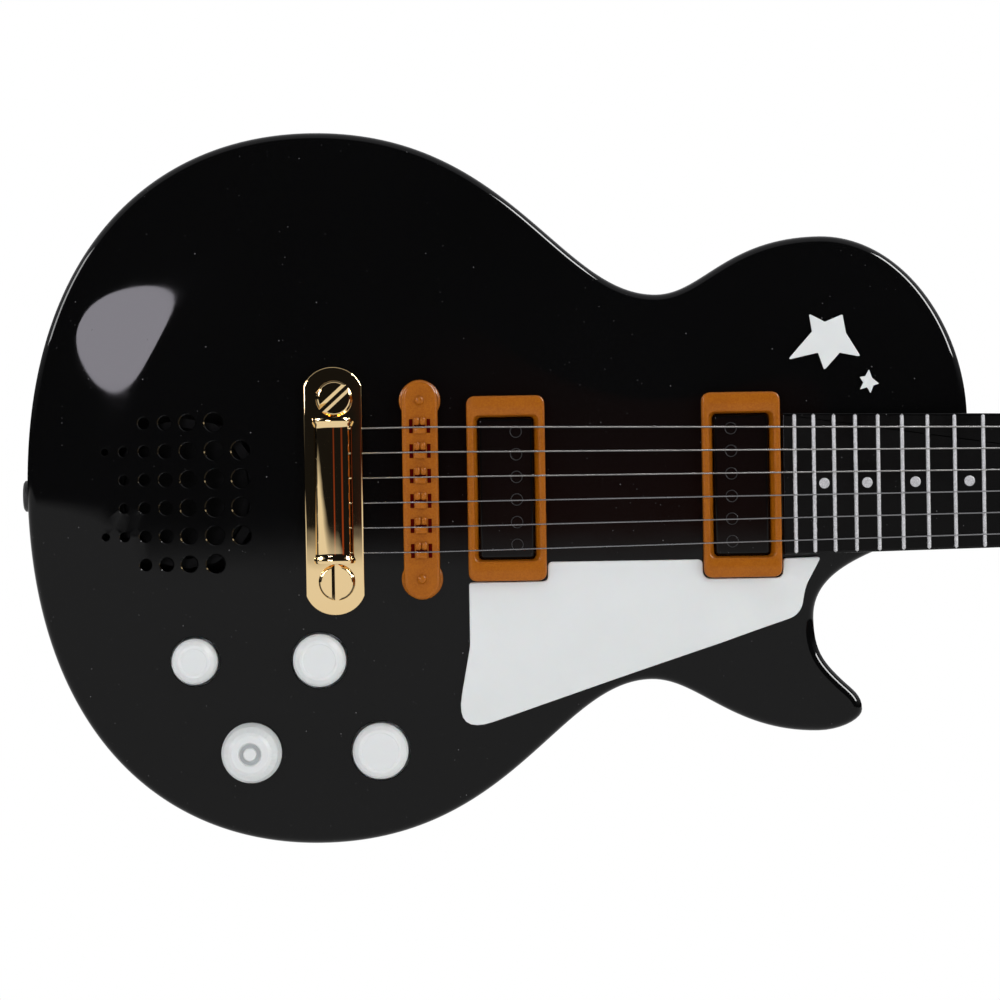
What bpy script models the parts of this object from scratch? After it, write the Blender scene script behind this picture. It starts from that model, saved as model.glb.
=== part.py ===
"""Toy electric guitar, worn on a strap or held: neck toward +X, bass strings up (+Z), face toward -Y.

Everything is laid out in millimetres in the guitar's own frame: x from the body's tail end along the
neck, y from the centre line toward the bass strings, z from the flat back out through the face.
The empty "guitar" turns that frame upright and puts the strap button's end face at the world origin.
"""
import math

import bmesh
import bpy
from mathutils import Matrix, Vector
from mathutils.geometry import delaunay_2d_cdt

MM = 0.001
GAP = 0.3                       # clearance kept between touching pieces

# ---- body -------------------------------------------------------------------------------------
TAIL_X = 0.0
HEEL_X = 270.5
BASS_BOUT = 103.0               # half widths of the body at its landmarks
TREBLE_BOUT = 101.0
BASS_WAIST = 55.0
TREBLE_WAIST = 55.5
HORN = 71.0
HEEL_HALF = 17.0
WALL = 1.8
BACK_EDGE = 2.8                 # rounding between the back and the side
SEAM_Z = 20.0                   # where the two shells meet
SHOULDER_Z = 24.0               # top of the straight side wall
FRONT_EDGE = 3.2                # rounding between the side and the arched top
CROWN_Z = 31.0                  # flat middle of the arched top
ARCH_RUN = 30.0                 # distance over which the top rises to its crown
ON_CROWN = CROWN_Z + GAP        # underside of what stands on the top's flat middle
# heading is the way the outline runs there, fullness how far its curve follows that heading
RIGHT, UP, LEFT, DOWN = Vector((1, 0)), Vector((0, 1)), Vector((-1, 0)), Vector((0, -1))
UP_LEFT = Vector((-0.71, 0.70))
UP_RIGHT = Vector((0.94, 0.34))
BODY_LANDMARKS = (
    (HEEL_X, 18.0, UP, 0.50),
    (228.5, HORN, LEFT, 0.57),
    (181.5, BASS_WAIST, LEFT, 0.28),
    (83.0, BASS_BOUT, LEFT, 0.58),
    (TAIL_X, 1.5, DOWN, 0.65),
    (83.0, -TREBLE_BOUT, RIGHT, 0.58),
    (178.5, -TREBLE_WAIST, RIGHT, 0.28),
    (226.0, -HORN, RIGHT, 0.52),
    (238.8, -65.0, UP, 0.48),
    (233.0, -56.4, UP_LEFT, 0.42),
    (225.2, -38.5, UP, 0.52),
    (250.0, -HEEL_HALF, UP_RIGHT, 0.50),
)

# ---- neck and strings -------------------------------------------------------------------------
SCALE_LENGTH = 326.4            # fret rule: fret n sits at the nut less this times (1 - 2^(-n/12))
NUT_X = 454.7
FRETS = 22
BOARD_START = 216.4
BOARD_END = 453.2
BOARD_HALF_AT_220 = 20.15
BOARD_TAPER = 0.0176            # half width lost for each millimetre toward the nut
BOARD_BOTTOM = ON_CROWN
BOARD_TOP = 34.0
FRET_WIDTH = 1.1
FRET_HEIGHT = 0.8
NECK_TOP = 31.0
STRINGS = 6
BRIDGE_X = 113.2
BRIDGE_PITCH = 7.1              # string spacing at the bridge and at the nut
NUT_PITCH = 5.0
STRING_RADII = (0.26, 0.24, 0.22, 0.20, 0.19, 0.18)

# ---- headstock --------------------------------------------------------------------------------
FACE_START = 457.2
HEADSTOCK = ((457.2, 17.0), (465.0, 22.0), (473.0, 27.0), (488.0, 28.5),
             (520.0, 27.5), (540.0, 26.0), (551.0, 21.5), (557.5, 13.5))
RIM_Z = 26.2                    # top of the headstock's hollow back
FACE_TOP = 29.5
POST_X = (478.0, 503.0, 528.0)
POST_Y = 17.0
GEAR_Z = 19.5
GEAR_TEETH = 14
GEAR_PITCH_RADIUS = 3.5
GEAR_TIP = 3.7
GEAR_ROOT = 2.9
GEAR_FACE = 1.0
WORM_CENTRE = 5.1               # distance from a post's axis to its worm's axis
WORM_PITCH = 2 * math.pi * GEAR_PITCH_RADIUS / GEAR_TEETH
THREAD_RADIUS = 1.45
THREAD_DEPTH = 0.45
WORM_TURNS = 2

# ---- controls, tailpiece and pickups ------------------------------------------------------------
SPEAKER_X = 46.0
GRILLE_ROW_PITCH = 8.1
GRILLE_COLUMNS = ((22.9, 0.95), (28.3, 1.3), (34.2, 1.6), (40.2, 1.9), (46.7, 2.3), (54.2, 2.65),
                  (61.8, 2.65))
GRILLE_ROWS = ((-2.5, 2, 6), (-1.5, 0, 7), (-0.5, 1, 7), (0.5, 1, 7), (1.5, 0, 7), (2.5, 2, 6))
BUTTON_TOP = 37.4
BUTTON_FLANGE = 26.8            # top of the rim that holds a button under the body's top
BUTTON_FOOT = 18.8
BUTTONS = ((47.9, -48.0, 6.7, 3.7), (83.5, -48.2, 7.7, 4.7), (100.5, -74.3, 8.1, 5.3))
VOLUME = (63.7, -74.3)
TAILPIECE_X = 88.4
TAILPIECE_LENGTH = 70.8
TAILPIECE_WIDTH = 16.6
PLATE_TOP = 34.0
TAIL_SCREW_HEAD = 2.2
TAIL_SCREWS = ((88.9, 26.3, math.radians(42)), (88.9, -26.0, math.radians(90)))
BRIDGE_WIDTH = 10.2
BRIDGE_LENGTH = 62.6
BRIDGE_BOTTOM = 33.8
BRIDGE_TOP = 37.2
SADDLE_TOP = 38.4
POST_SPREAD = 25.4
PICKUPS = (("bridge", 137.6), ("neck", 204.7))
FRAME_OUTER = (22.3, 52.8)
FRAME_INNER = (16.4, 40.9)
FRAME_TOP = 35.0
FRAME_BOTTOM = 28.5
GUARD_POINTS = (                # x, y and corner radius of the pickguard
    (126.5, -44.5, 9.0), (121.8, -69.6, 8.0), (219.9, -38.0, 9.0), (221.6, -29.0, 14.0),
    (227.3, -21.0, 0.8), (216.3, -21.2, 1.0), (216.2, -27.0, 2.0), (192.9, -27.0, 2.5),
    (192.9, -21.2, 1.5), (149.4, -21.2, 1.5), (149.4, -27.0, 1.5), (126.5, -27.0, 1.0),
)
GUARD_THICKNESS = 1.2
STAR_THICKNESS = 0.8
SHEET_LIFT = 0.5                # gap left under a sheet that follows the arched top
SHEET_STEP = 10.0               # longest straight edge on such a sheet
# each star's softness, then its ten corners: a tip and a hollow in turn
STARS = (
    ("star_inlay_large", 0.4, (
        (224.8, 48.5), (225.6, 43.4), (218.5, 35.4), (227.2, 37.3), (228.9, 32.3),
        (233.4, 37.2), (239.4, 36.0), (235.3, 42.8), (234.4, 48.2), (229.3, 46.1))),
    ("star_inlay_small", 0.15, (
        (241.7, 32.3), (240.6, 30.4), (239.0, 30.2), (240.0, 28.6), (239.0, 26.6),
        (241.1, 27.2), (242.0, 25.5), (242.9, 27.7), (244.5, 28.2), (242.5, 29.9))),
)

# ---- back, battery bay and inside ----------------------------------------------------------------
STRAP_Z = 13.0
STRAP_OUT = 2.2                 # how far the tail strap button stands out of the side
CASE_SCREWS = ((30.0, 58.0), (30.0, -55.0), (146.0, 51.5), (152.0, -48.0))
NECK_SCREW_X = 235.0
HEEL_BUTTON_X = 254.0
BAY = (129.5, 192.0, 24.5, 17.0)        # inside of the battery bay: x from, x to, half width, depth
DOOR_SCREW_X = 187.5
CELL_LENGTH = 50.5
CELL_RADIUS = 7.1
BOARD_LEVEL = 14.0
BOARD_THICKNESS = 1.6
BUTTON_TRAVEL = 1.5

COLOURS = {                     # colour, roughness, metallic
    "gloss_black": ((0.012, 0.012, 0.013), 0.12, 0.0),
    "satin_black": ((0.018, 0.018, 0.019), 0.40, 0.0),
    "amber_plastic": ((0.52, 0.19, 0.018), 0.25, 0.0),
    "white_plastic": ((0.76, 0.78, 0.77), 0.28, 0.0),
    "gold_chrome": ((0.78, 0.52, 0.22), 0.10, 1.0),
    "steel": ((0.55, 0.55, 0.56), 0.28, 1.0),
    "board_green": ((0.02, 0.14, 0.05), 0.50, 0.0),
    "rubber_grey": ((0.30, 0.31, 0.32), 0.75, 0.0),
    "cone_paper": ((0.03, 0.03, 0.03), 0.85, 0.0),
    "cell_jacket": ((0.10, 0.16, 0.30), 0.35, 0.2),
    "pearl_cream": ((0.72, 0.66, 0.52), 0.30, 0.0),
}


# ---- scene helpers -------------------------------------------------------------------------------
def clear_scene():
    for thing in list(bpy.data.objects):
        bpy.data.objects.remove(thing, do_unlink=True)


def new_collection(name):
    collection = bpy.data.collections.new(name)
    bpy.context.scene.collection.children.link(collection)
    return collection


def make_materials():
    made = {}
    for name, (rgb, roughness, metallic) in COLOURS.items():
        made[name] = bpy.data.materials.new(name)
        made[name].use_nodes = True
        shader = made[name].node_tree.nodes["Principled BSDF"]
        shader.inputs["Base Color"].default_value = (*rgb, 1.0)
        shader.inputs["Roughness"].default_value = roughness
        shader.inputs["Metallic"].default_value = metallic
    return made


def place(obj, at, rotation, material):
    """Put an object in the guitar's frame, as a part with a material or as a cutter without one."""
    obj.parent = GUITAR
    obj.location = [value * MM for value in at]
    obj.rotation_euler = rotation
    if material:
        PARTS.objects.link(obj)
        own = MATERIALS[material].copy()
        own.name = obj.name + "_" + material
        obj.data.materials.append(own)
    else:
        CUTTERS.objects.link(obj)
        obj.hide_render = True
        obj.display_type = "WIRE"
    return obj


def from_bmesh(name, bm, material=None, at=(0, 0, 0), rotation=(0, 0, 0), smooth=False):
    """An object from a bmesh that was built in millimetres."""
    bmesh.ops.scale(bm, vec=(MM, MM, MM), verts=bm.verts)
    mesh = bpy.data.meshes.new(name)
    bm.to_mesh(mesh)
    bm.free()
    if smooth:
        mesh.shade_smooth()
        mesh.set_sharp_from_angle(angle=math.radians(35))
    return place(bpy.data.objects.new(name, mesh), at, rotation, material)


def combine(obj, other, operation="DIFFERENCE"):
    change = obj.modifiers.new(operation.title(), "BOOLEAN")
    change.operation = operation
    change.object = other
    return obj


def round_edges(obj, width, segments=2, angle=40):
    bevel = obj.modifiers.new("Bevel", "BEVEL")
    bevel.width = width * MM
    bevel.segments = segments
    bevel.limit_method = "ANGLE"
    bevel.angle_limit = math.radians(angle)
    return obj


# ---- shapes --------------------------------------------------------------------------------------
def turned(name, profile, material=None, at=(0, 0, 0), rotation=(0, 0, 0), sides=20):
    """A solid of revolution: (radius, height) from the axis at the top to the axis at the bottom."""
    mesh = bpy.data.meshes.new(name)
    points = [(radius * MM, 0.0, height * MM) for radius, height in profile]
    mesh.from_pydata(points, [(i, i + 1) for i in range(len(points) - 1)], [])
    obj = place(bpy.data.objects.new(name, mesh), at, rotation, material)
    screw = obj.modifiers.new("Screw", "SCREW")
    screw.steps = sides
    screw.render_steps = sides
    screw.use_merge_vertices = True
    screw.merge_threshold = 0.00001
    return obj


def flat_solid(name, loops, bottom, top, material=None, at=(0, 0, 0), rotation=(0, 0, 0)):
    """A flat outline, with holes if more loops follow it, standing from bottom to top."""
    curve = bpy.data.curves.new(name, "CURVE")
    curve.dimensions = "2D"
    curve.fill_mode = "BOTH"
    curve.extrude = (top - bottom) / 2 * MM
    for loop in loops:
        spline = curve.splines.new("POLY")
        spline.points.add(len(loop) - 1)
        spline.use_cyclic_u = True
        for point, (x, y) in zip(spline.points, loop):
            point.co = (x * MM, y * MM, 0.0, 1.0)
    drawn = bpy.data.objects.new(name + "_outline", curve)
    CUTTERS.objects.link(drawn)
    mesh = bpy.data.meshes.new_from_object(drawn.evaluated_get(bpy.context.evaluated_depsgraph_get()))
    bpy.data.objects.remove(drawn, do_unlink=True)
    bm = bmesh.new()
    bm.from_mesh(mesh)
    bmesh.ops.remove_doubles(bm, verts=bm.verts, dist=0.00001)
    if len(loops) == 1:
        bmesh.ops.dissolve_limit(bm, angle_limit=math.radians(0.5), verts=bm.verts, edges=bm.edges)
    bmesh.ops.recalc_face_normals(bm, faces=bm.faces)
    bmesh.ops.translate(bm, vec=(0, 0, (top + bottom) / 2 * MM), verts=bm.verts)
    bmesh.ops.scale(bm, vec=(1 / MM, 1 / MM, 1 / MM), verts=bm.verts)
    return from_bmesh(name, bm, material, at, rotation)


def box(name, low, high, material=None):
    bm = bmesh.new()
    bmesh.ops.create_cube(bm, size=1.0)
    bmesh.ops.scale(bm, vec=[b - a for a, b in zip(low, high)], verts=bm.verts)
    centre = [(a + b) / 2 for a, b in zip(low, high)]
    return from_bmesh(name, bm, material, at=centre)


def pegs(name, places, bottom, top, sides=12, material=None):
    """Upright cylinders, as (x, y, radius), joined in one object that cuts holes or adds bosses."""
    bm = bmesh.new()
    for x, y, radius in places:
        bmesh.ops.create_cone(bm, cap_ends=True, segments=sides, radius1=radius, radius2=radius,
                              depth=top - bottom, matrix=Matrix.Translation((x, y, (top + bottom) / 2)))
    return from_bmesh(name, bm, material)


def rounded_box_outline(width, length, radius, centre=(0, 0), steps=4):
    corners = [(-width / 2, -length / 2, radius), (width / 2, -length / 2, radius),
               (width / 2, length / 2, radius), (-width / 2, length / 2, radius)]
    return [(x + centre[0], y + centre[1]) for x, y in rounded_polygon(corners, steps)]


def rounded_polygon(corners, steps=4):
    """Replace each (x, y, radius) corner by a short curve that starts and ends on its two edges."""
    outline = []
    for i, (x, y, radius) in enumerate(corners):
        corner = Vector((x, y))
        before = Vector(corners[i - 1][:2]) - corner
        after = Vector(corners[(i + 1) % len(corners)][:2]) - corner
        half_angle = before.angle(after) / 2
        reach = min(radius / math.tan(half_angle), 0.45 * before.length, 0.45 * after.length)
        first = corner + before.normalized() * reach
        last = corner + after.normalized() * reach
        for step in range(steps + 1):
            t = step / steps
            point = first * (1 - t) ** 2 + corner * (2 * t * (1 - t)) + last * t ** 2
            outline.append((point.x, point.y))
    return outline


def loft(name, sections, material=None):
    """A closed solid through rings with equal numbers of points."""
    bm = bmesh.new()
    rings = [[bm.verts.new(point) for point in section] for section in sections]
    for near, far in zip(rings, rings[1:]):
        for i in range(len(near)):
            j = (i + 1) % len(near)
            bm.faces.new((near[i], near[j], far[j], far[i]))
    bm.faces.new(list(reversed(rings[0])))
    bm.faces.new(rings[-1])
    bmesh.ops.recalc_face_normals(bm, faces=bm.faces)
    return from_bmesh(name, bm, material, smooth=material is not None)


# ---- the body's outline and arched top -----------------------------------------------------------
def reach_along(heading, start, end):
    return abs(heading.dot(end - start))


def body_outline():
    outline = []
    for first, second in zip(BODY_LANDMARKS, BODY_LANDMARKS[1:]):
        start, end = Vector(first[:2]), Vector(second[:2])
        leave = start + first[2] * first[3] * reach_along(first[2], start, end)
        arrive = end - second[2] * second[3] * reach_along(second[2], start, end)
        steps = max(4, round((end - start).length / 16))
        for step in range(steps):
            t = step / steps
            outline.append(start * (1 - t) ** 3 + leave * (3 * t * (1 - t) ** 2)
                           + arrive * (3 * t * t * (1 - t)) + end * t ** 3)
    outline.append(Vector(BODY_LANDMARKS[-1][:2]))
    outline.append(Vector((HEEL_X, -HEEL_HALF)))
    outline.append(Vector((HEEL_X, 0.0)))
    return outline


def inset_outline(outline, inset):
    moved = []
    for i, point in enumerate(outline):
        before = (point - outline[i - 1]).normalized()
        after = (outline[(i + 1) % len(outline)] - point).normalized()
        inward = Vector((-before.y - after.y, before.x + after.x)).normalized()
        moved.append(point + inward * inset / inward.dot(Vector((-before.y, before.x))))
    return moved


def edge_distance(x, y):
    """Distance from a point inside the body to its outline."""
    point = Vector((x, y))
    nearest = math.inf
    for i, start in enumerate(OUTLINE):
        along = OUTLINE[(i + 1) % len(OUTLINE)] - start
        t = min(1.0, max(0.0, (point - start).dot(along) / along.length_squared))
        nearest = min(nearest, (point - start - along * t).length)
    return nearest


def inside(x, y, outline):
    hit = False
    for i, (x1, y1) in enumerate(outline):
        x0, y0 = outline[i - 1]
        if (y0 > y) != (y1 > y) and x < x0 + (y - y0) * (x1 - x0) / (y1 - y0):
            hit = not hit
    return hit


def arch(x, y):
    """Height of the arched top."""
    rise = min(1.0, max(0.0, (edge_distance(x, y) - FRONT_EDGE) / ARCH_RUN))
    edge_z = SHOULDER_Z + FRONT_EDGE
    return edge_z + (CROWN_Z - edge_z) * (1 - (1 - rise) ** 2)


def flat_back(x, y):
    return 0.0


def filled(bm, ring, height, spacing, margin):
    """Faces over a closed ring of bmesh vertices, with a lattice of points inside it."""
    outline = [(v.co.x, v.co.y) for v in ring]
    low_x, high_x = min(p[0] for p in outline), max(p[0] for p in outline)
    low_y, high_y = min(p[1] for p in outline), max(p[1] for p in outline)
    extra = []
    for row in range(int((high_y - low_y) / (spacing * 0.87)) + 1):
        y = low_y + row * spacing * 0.87
        for column in range(int((high_x - low_x) / spacing) + 2):
            x = low_x + (column - 0.5 * (row % 2)) * spacing
            near = min((Vector((x, y)) - Vector(point)).length for point in outline)
            if inside(x, y, outline) and near > margin:
                extra.append((x, y))
    points = [Vector(p) for p in outline + extra]
    edges = [(i, (i + 1) % len(outline)) for i in range(len(outline))]
    result = delaunay_2d_cdt(points, edges, [], 1, 0.001)
    verts = list(ring) + [bm.verts.new((x, y, height(x, y))) for x, y in extra]
    order = [verts[source[0]] for source in result[3]]
    for face in result[2]:
        bm.faces.new([order[i] for i in face])


def shell(name, profile, height, spacing, material):
    """A thin body half: side wall and rounding as insets of the outline, then the broad face."""
    bm = bmesh.new()
    rings = [[bm.verts.new((p.x, p.y, z)) for p in inset_outline(OUTLINE, inset)] for inset, z in profile]
    for lower, upper in zip(rings, rings[1:]):
        for i in range(len(lower)):
            j = (i + 1) % len(lower)
            bm.faces.new((lower[i], lower[j], upper[j], upper[i]))
    filled(bm, rings[-1], height, spacing, spacing * 0.6)
    bmesh.ops.recalc_face_normals(bm, faces=bm.faces)
    obj = from_bmesh(name, bm, material, smooth=True)
    thicken(obj, WALL, -1.0)
    return obj


def thicken(obj, thickness, offset):
    solidify = obj.modifiers.new("Solidify", "SOLIDIFY")
    solidify.thickness = thickness * MM
    solidify.offset = offset
    solidify.use_even_offset = True


def divided(outline, longest):
    """The same outline with extra points, so that none of its edges is longer than a given length."""
    points = []
    for i, (x, y) in enumerate(outline):
        start, end = Vector((x, y)), Vector(outline[(i + 1) % len(outline)])
        pieces = max(1, math.ceil((end - start).length / longest))
        points += [tuple(start.lerp(end, step / pieces)) for step in range(pieces)]
    return points


def following_sheet(name, outline, thickness, spacing, material):
    """A sheet that lies on the arched top."""
    bm = bmesh.new()
    outline = divided(outline, SHEET_STEP)
    ring = [bm.verts.new((x, y, arch(x, y) + SHEET_LIFT)) for x, y in outline]
    filled(bm, ring, lambda x, y: arch(x, y) + SHEET_LIFT, spacing, spacing * 0.6)
    bmesh.ops.recalc_face_normals(bm, faces=bm.faces)
    if sum(face.normal.z for face in bm.faces) < 0:
        bmesh.ops.reverse_faces(bm, faces=bm.faces)
    obj = from_bmesh(name, bm, material, smooth=True)
    thicken(obj, thickness, 1.0)
    return obj


def edge_rounding(radius, start_z, direction):
    """Profile of a quarter round, as (inset, z)."""
    return [(radius * (1 - math.cos(math.radians(a))),
             start_z + direction * radius * math.sin(math.radians(a)))
            for a in (0, 30, 60, 90)]


# ---- body shells -----------------------------------------------------------------------------------
def board_half(x):
    return BOARD_HALF_AT_220 - BOARD_TAPER * (x - 220.0)


def neck_pocket():
    clearance = 0.35
    start, end = BOARD_START - 0.5, HEEL_X + 4.0
    outline = [(start, -board_half(start) - clearance), (end, -board_half(end) - clearance),
               (end, board_half(end) + clearance), (start, board_half(start) + clearance)]
    return flat_solid("cut_neck_pocket", [outline], 13.6, 45.0)


def grille_holes():
    holes = []
    for row, first, last in GRILLE_ROWS:
        holes += [(x, row * GRILLE_ROW_PITCH, radius) for x, radius in GRILLE_COLUMNS[first:last]]
    return holes


def front_shell():
    profile = [(0.0, SEAM_Z + GAP / 2)] + edge_rounding(FRONT_EDGE, SHOULDER_Z, 1)
    obj = shell("body_front_shell", profile, arch, 20.0, "gloss_black")
    bosses = bmesh.new()
    for x, y in CASE_SCREWS:
        low, high = SEAM_Z + GAP / 2, arch(x, y) - 1.1
        bmesh.ops.create_cone(bosses, cap_ends=True, segments=12, radius1=4.0, radius2=4.0,
                              depth=high - low,
                              matrix=Matrix.Translation((x, y, (high + low) / 2)))
    combine(obj, from_bmesh("add_front_bosses", bosses), "UNION")
    combine(obj, pegs("cut_pilot_holes", [(x, y, 1.6) for x, y in CASE_SCREWS], SEAM_Z - 2.0, 27.0, 10))
    combine(obj, pegs("cut_grille", grille_holes(), 25.0, 35.0, 8))
    round_holes = [(x, y, radius + 0.4) for x, y, radius, inner in BUTTONS]
    round_holes.append((*VOLUME, 3.5))
    round_holes += [(x, y, 2.0) for x, y, turn in TAIL_SCREWS]
    round_holes += [(BRIDGE_X, side * POST_SPREAD, 2.0) for side in (1, -1)]
    combine(obj, pegs("cut_control_holes", round_holes, 25.0, 35.0, 16))
    for place_name, x in PICKUPS:
        opening = rounded_box_outline(FRAME_OUTER[0] + 0.6, FRAME_OUTER[1] + 0.6, 2.9, (x, 0.0))
        combine(obj, flat_solid("cut_pickup_" + place_name, [opening], 24.0, 40.0))
    combine(obj, neck_pocket())
    return obj


def back_shell():
    profile = [(0.0, SEAM_Z - GAP / 2)] + edge_rounding(BACK_EDGE, BACK_EDGE, -1)
    obj = shell("body_back_shell", profile, flat_back, 40.0, "satin_black")
    low_x, high_x, half, depth = BAY
    wall = 2.0
    bay = box("add_battery_bay", (low_x - wall, -half - wall, 1.0),
              (high_x + wall, half + wall, depth + wall))
    combine(obj, bay, "UNION")
    screw_bosses = [(x, y, 4.0) for x, y in CASE_SCREWS]
    combine(obj, pegs("add_back_bosses", screw_bosses, 1.0, SEAM_Z - GAP / 2), "UNION")
    combine(obj, pegs("add_neck_boss", [(NECK_SCREW_X, 0.0, 4.0)], 1.0, 13.4), "UNION")
    combine(obj, box("cut_battery_bay", (low_x, -half, -1.0), (high_x, half, depth)))
    combine(obj, pegs("add_door_boss", [(DOOR_SCREW_X, 0.0, 3.6)], 2.3, depth + 1.0), "UNION")
    screws = [*CASE_SCREWS, (NECK_SCREW_X, 0.0)]
    combine(obj, pegs("cut_screw_holes", [(x, y, 1.7) for x, y in screws], -1.0, 22.0, 10))
    combine(obj, pegs("cut_screw_heads", [(x, y, 3.4) for x, y in screws], -2.0, 2.6, 16))
    combine(obj, pegs("cut_door_screw", [(DOOR_SCREW_X, 0.0, 1.5)], 0.0, 12.0, 10))
    combine(obj, pegs("cut_heel_button", [(HEEL_BUTTON_X, 0.0, 2.6)], -3.0, 6.0, 12))
    tail_hole = turned("cut_tail_button", [(0, 6), (2.6, 6), (2.6, -6), (0, -6)],
                       at=(TAIL_X, 0, STRAP_Z), rotation=(0, math.pi / 2, 0), sides=12)
    combine(obj, tail_hole)
    combine(obj, bpy.data.objects["cut_neck_pocket"])
    return obj


# ---- trim on the face ----------------------------------------------------------------------------
def pickguard():
    outline = rounded_polygon(GUARD_POINTS, 3)
    following_sheet("pickguard", outline, GUARD_THICKNESS, 14.0, "white_plastic")


def star_inlays():
    for name, softness, corners in STARS:
        outline = rounded_polygon([(x, y, softness) for x, y in corners], 2)
        following_sheet(name, outline, STAR_THICKNESS, 20.0, "white_plastic")


def pickups():
    for place_name, x in PICKUPS:
        outer = rounded_box_outline(*FRAME_OUTER, 2.6)
        inner = rounded_box_outline(*FRAME_INNER, 1.4, steps=3)
        frame = flat_solid("pickup_frame_" + place_name, [outer, inner], FRAME_BOTTOM, FRAME_TOP,
                           "amber_plastic", at=(x, 0, 0))
        round_edges(frame, 0.5, 1, 60)
        cover = flat_solid("pickup_cover_" + place_name,
                           [rounded_box_outline(FRAME_INNER[0] - 0.8, FRAME_INNER[1] - 0.8, 1.2, steps=3)],
                           FRAME_BOTTOM, FRAME_TOP - 0.4, "gloss_black", at=(x, 0, 0))
        round_edges(cover, 0.6, 2, 60)


def string_y(index, pitch):
    return ((STRINGS - 1) / 2 - index) * pitch


def bridge():
    bar = flat_solid("bridge_bar", [rounded_box_outline(BRIDGE_WIDTH, BRIDGE_LENGTH, 5.0)],
                     BRIDGE_BOTTOM, BRIDGE_TOP, "amber_plastic", at=(BRIDGE_X, 0, 0))
    round_edges(bar, 0.8, 2, 60)
    post_places = [(BRIDGE_X, s * POST_SPREAD, 1.9) for s in (1, -1)]
    combine(bar, pegs("cut_bridge_posts", post_places, 30.0, 42.0, 12))
    saddles, slots = bmesh.new(), bmesh.new()
    for index in range(STRINGS):
        y = string_y(index, BRIDGE_PITCH)
        for side in (1, -1):
            lump = Matrix.Translation((BRIDGE_X, y + 1.5 * side, 37.4))
            lump @= Matrix.Diagonal((3.4, 2.2, 2.0, 1))
            bmesh.ops.create_cube(saddles, size=1.0, matrix=lump)
            slot = Matrix.Translation((BRIDGE_X + 2.9 * side, y, 36.8))
            slot @= Matrix.Diagonal((1.2, 3.9, 2.0, 1))
            bmesh.ops.create_cube(slots, size=1.0, matrix=slot)
    combine(bar, from_bmesh("add_saddles", saddles), "UNION")
    combine(bar, from_bmesh("cut_saddle_slots", slots))
    profile = [(0, 38.8), (1.2, 38.8), (1.5, 38.4), (1.5, 33.4), (5.6, 33.4), (5.9, 33.0), (5.9, ON_CROWN),
               (1.6, ON_CROWN), (1.6, 24.5), (0, 24.5)]
    turned("bridge_post_bass", profile, "amber_plastic", at=(BRIDGE_X, POST_SPREAD, 0), sides=16)
    turned("bridge_post_treble", profile, "amber_plastic", at=(BRIDGE_X, -POST_SPREAD, 0), sides=16)


def tailpiece():
    half = TAILPIECE_LENGTH / 2
    bulge = 5.5                         # how far each end arc stands beyond the plate's corners
    steps = 8
    outline = []
    for end in (1, -1):
        for step in range(steps + 1):
            across = end * (1 - 2 * step / steps)
            outline.append((across * TAILPIECE_WIDTH / 2, end * (half - bulge * across ** 2)))
    plate = flat_solid("tailpiece_plate", [outline], ON_CROWN, PLATE_TOP, "gold_chrome",
                       at=(TAILPIECE_X, 0, 0))
    round_edges(plate, 0.6, 2, 50)
    combine(plate, pegs("cut_tail_screws", [(x, y, 2.0) for x, y, turn in TAIL_SCREWS], 28.0, 38.0, 12))
    width, height, length = 11.7, 4.6, 41.3
    dome = [(width / 2 * math.cos(math.radians(a)), height * math.sin(math.radians(a)))
            for a in range(0, 181, 15)]
    cover = flat_solid("tailpiece_cover", [dome], -length / 2, length / 2, "gold_chrome",
                       at=(TAILPIECE_X, 0, PLATE_TOP + GAP), rotation=(math.pi / 2, 0, 0))
    round_edges(cover, 0.7, 2, 70)
    for name, (x, y, turn) in zip(("tailpiece_screw_bass", "tailpiece_screw_treble"), TAIL_SCREWS):
        high = TAIL_SCREW_HEAD
        profile = [(0, high), (4.5, high), (5.2, high - 0.8), (5.2, 0), (1.6, 0), (1.6, -9), (0, -9)]
        head = turned(name, profile, "gold_chrome", at=(x, y, PLATE_TOP + GAP), sides=18)
        bm = bmesh.new()
        bmesh.ops.create_cube(bm, size=1.0)
        bmesh.ops.scale(bm, vec=(12.0, 1.6, 2.0), verts=bm.verts)
        slot = from_bmesh("cut_" + name, bm, at=(x, y, PLATE_TOP + GAP + high), rotation=(0, 0, turn))
        combine(head, slot)


# ---- buttons, volume knob and electronics ----------------------------------------------------------
def buttons():
    for index, (x, y, radius, inner) in enumerate(BUTTONS, 1):
        foot = [(3.0, BUTTON_FLANGE - 1.4), (3.0, BUTTON_FOOT), (0, BUTTON_FOOT)]
        rim = [(radius, BUTTON_FLANGE), (radius + 1.6, BUTTON_FLANGE), (radius + 1.6, BUTTON_FLANGE - 1.4)]
        profile = [(0, BUTTON_TOP), (inner, BUTTON_TOP), (inner + 0.4, BUTTON_TOP - 0.4),
                   (radius - 0.7, BUTTON_TOP - 2.4), (radius, BUTTON_TOP - 3.4), *rim, *foot]
        turned(f"rhythm_button_{index}", profile, "white_plastic", at=(x, y, 0))


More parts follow.
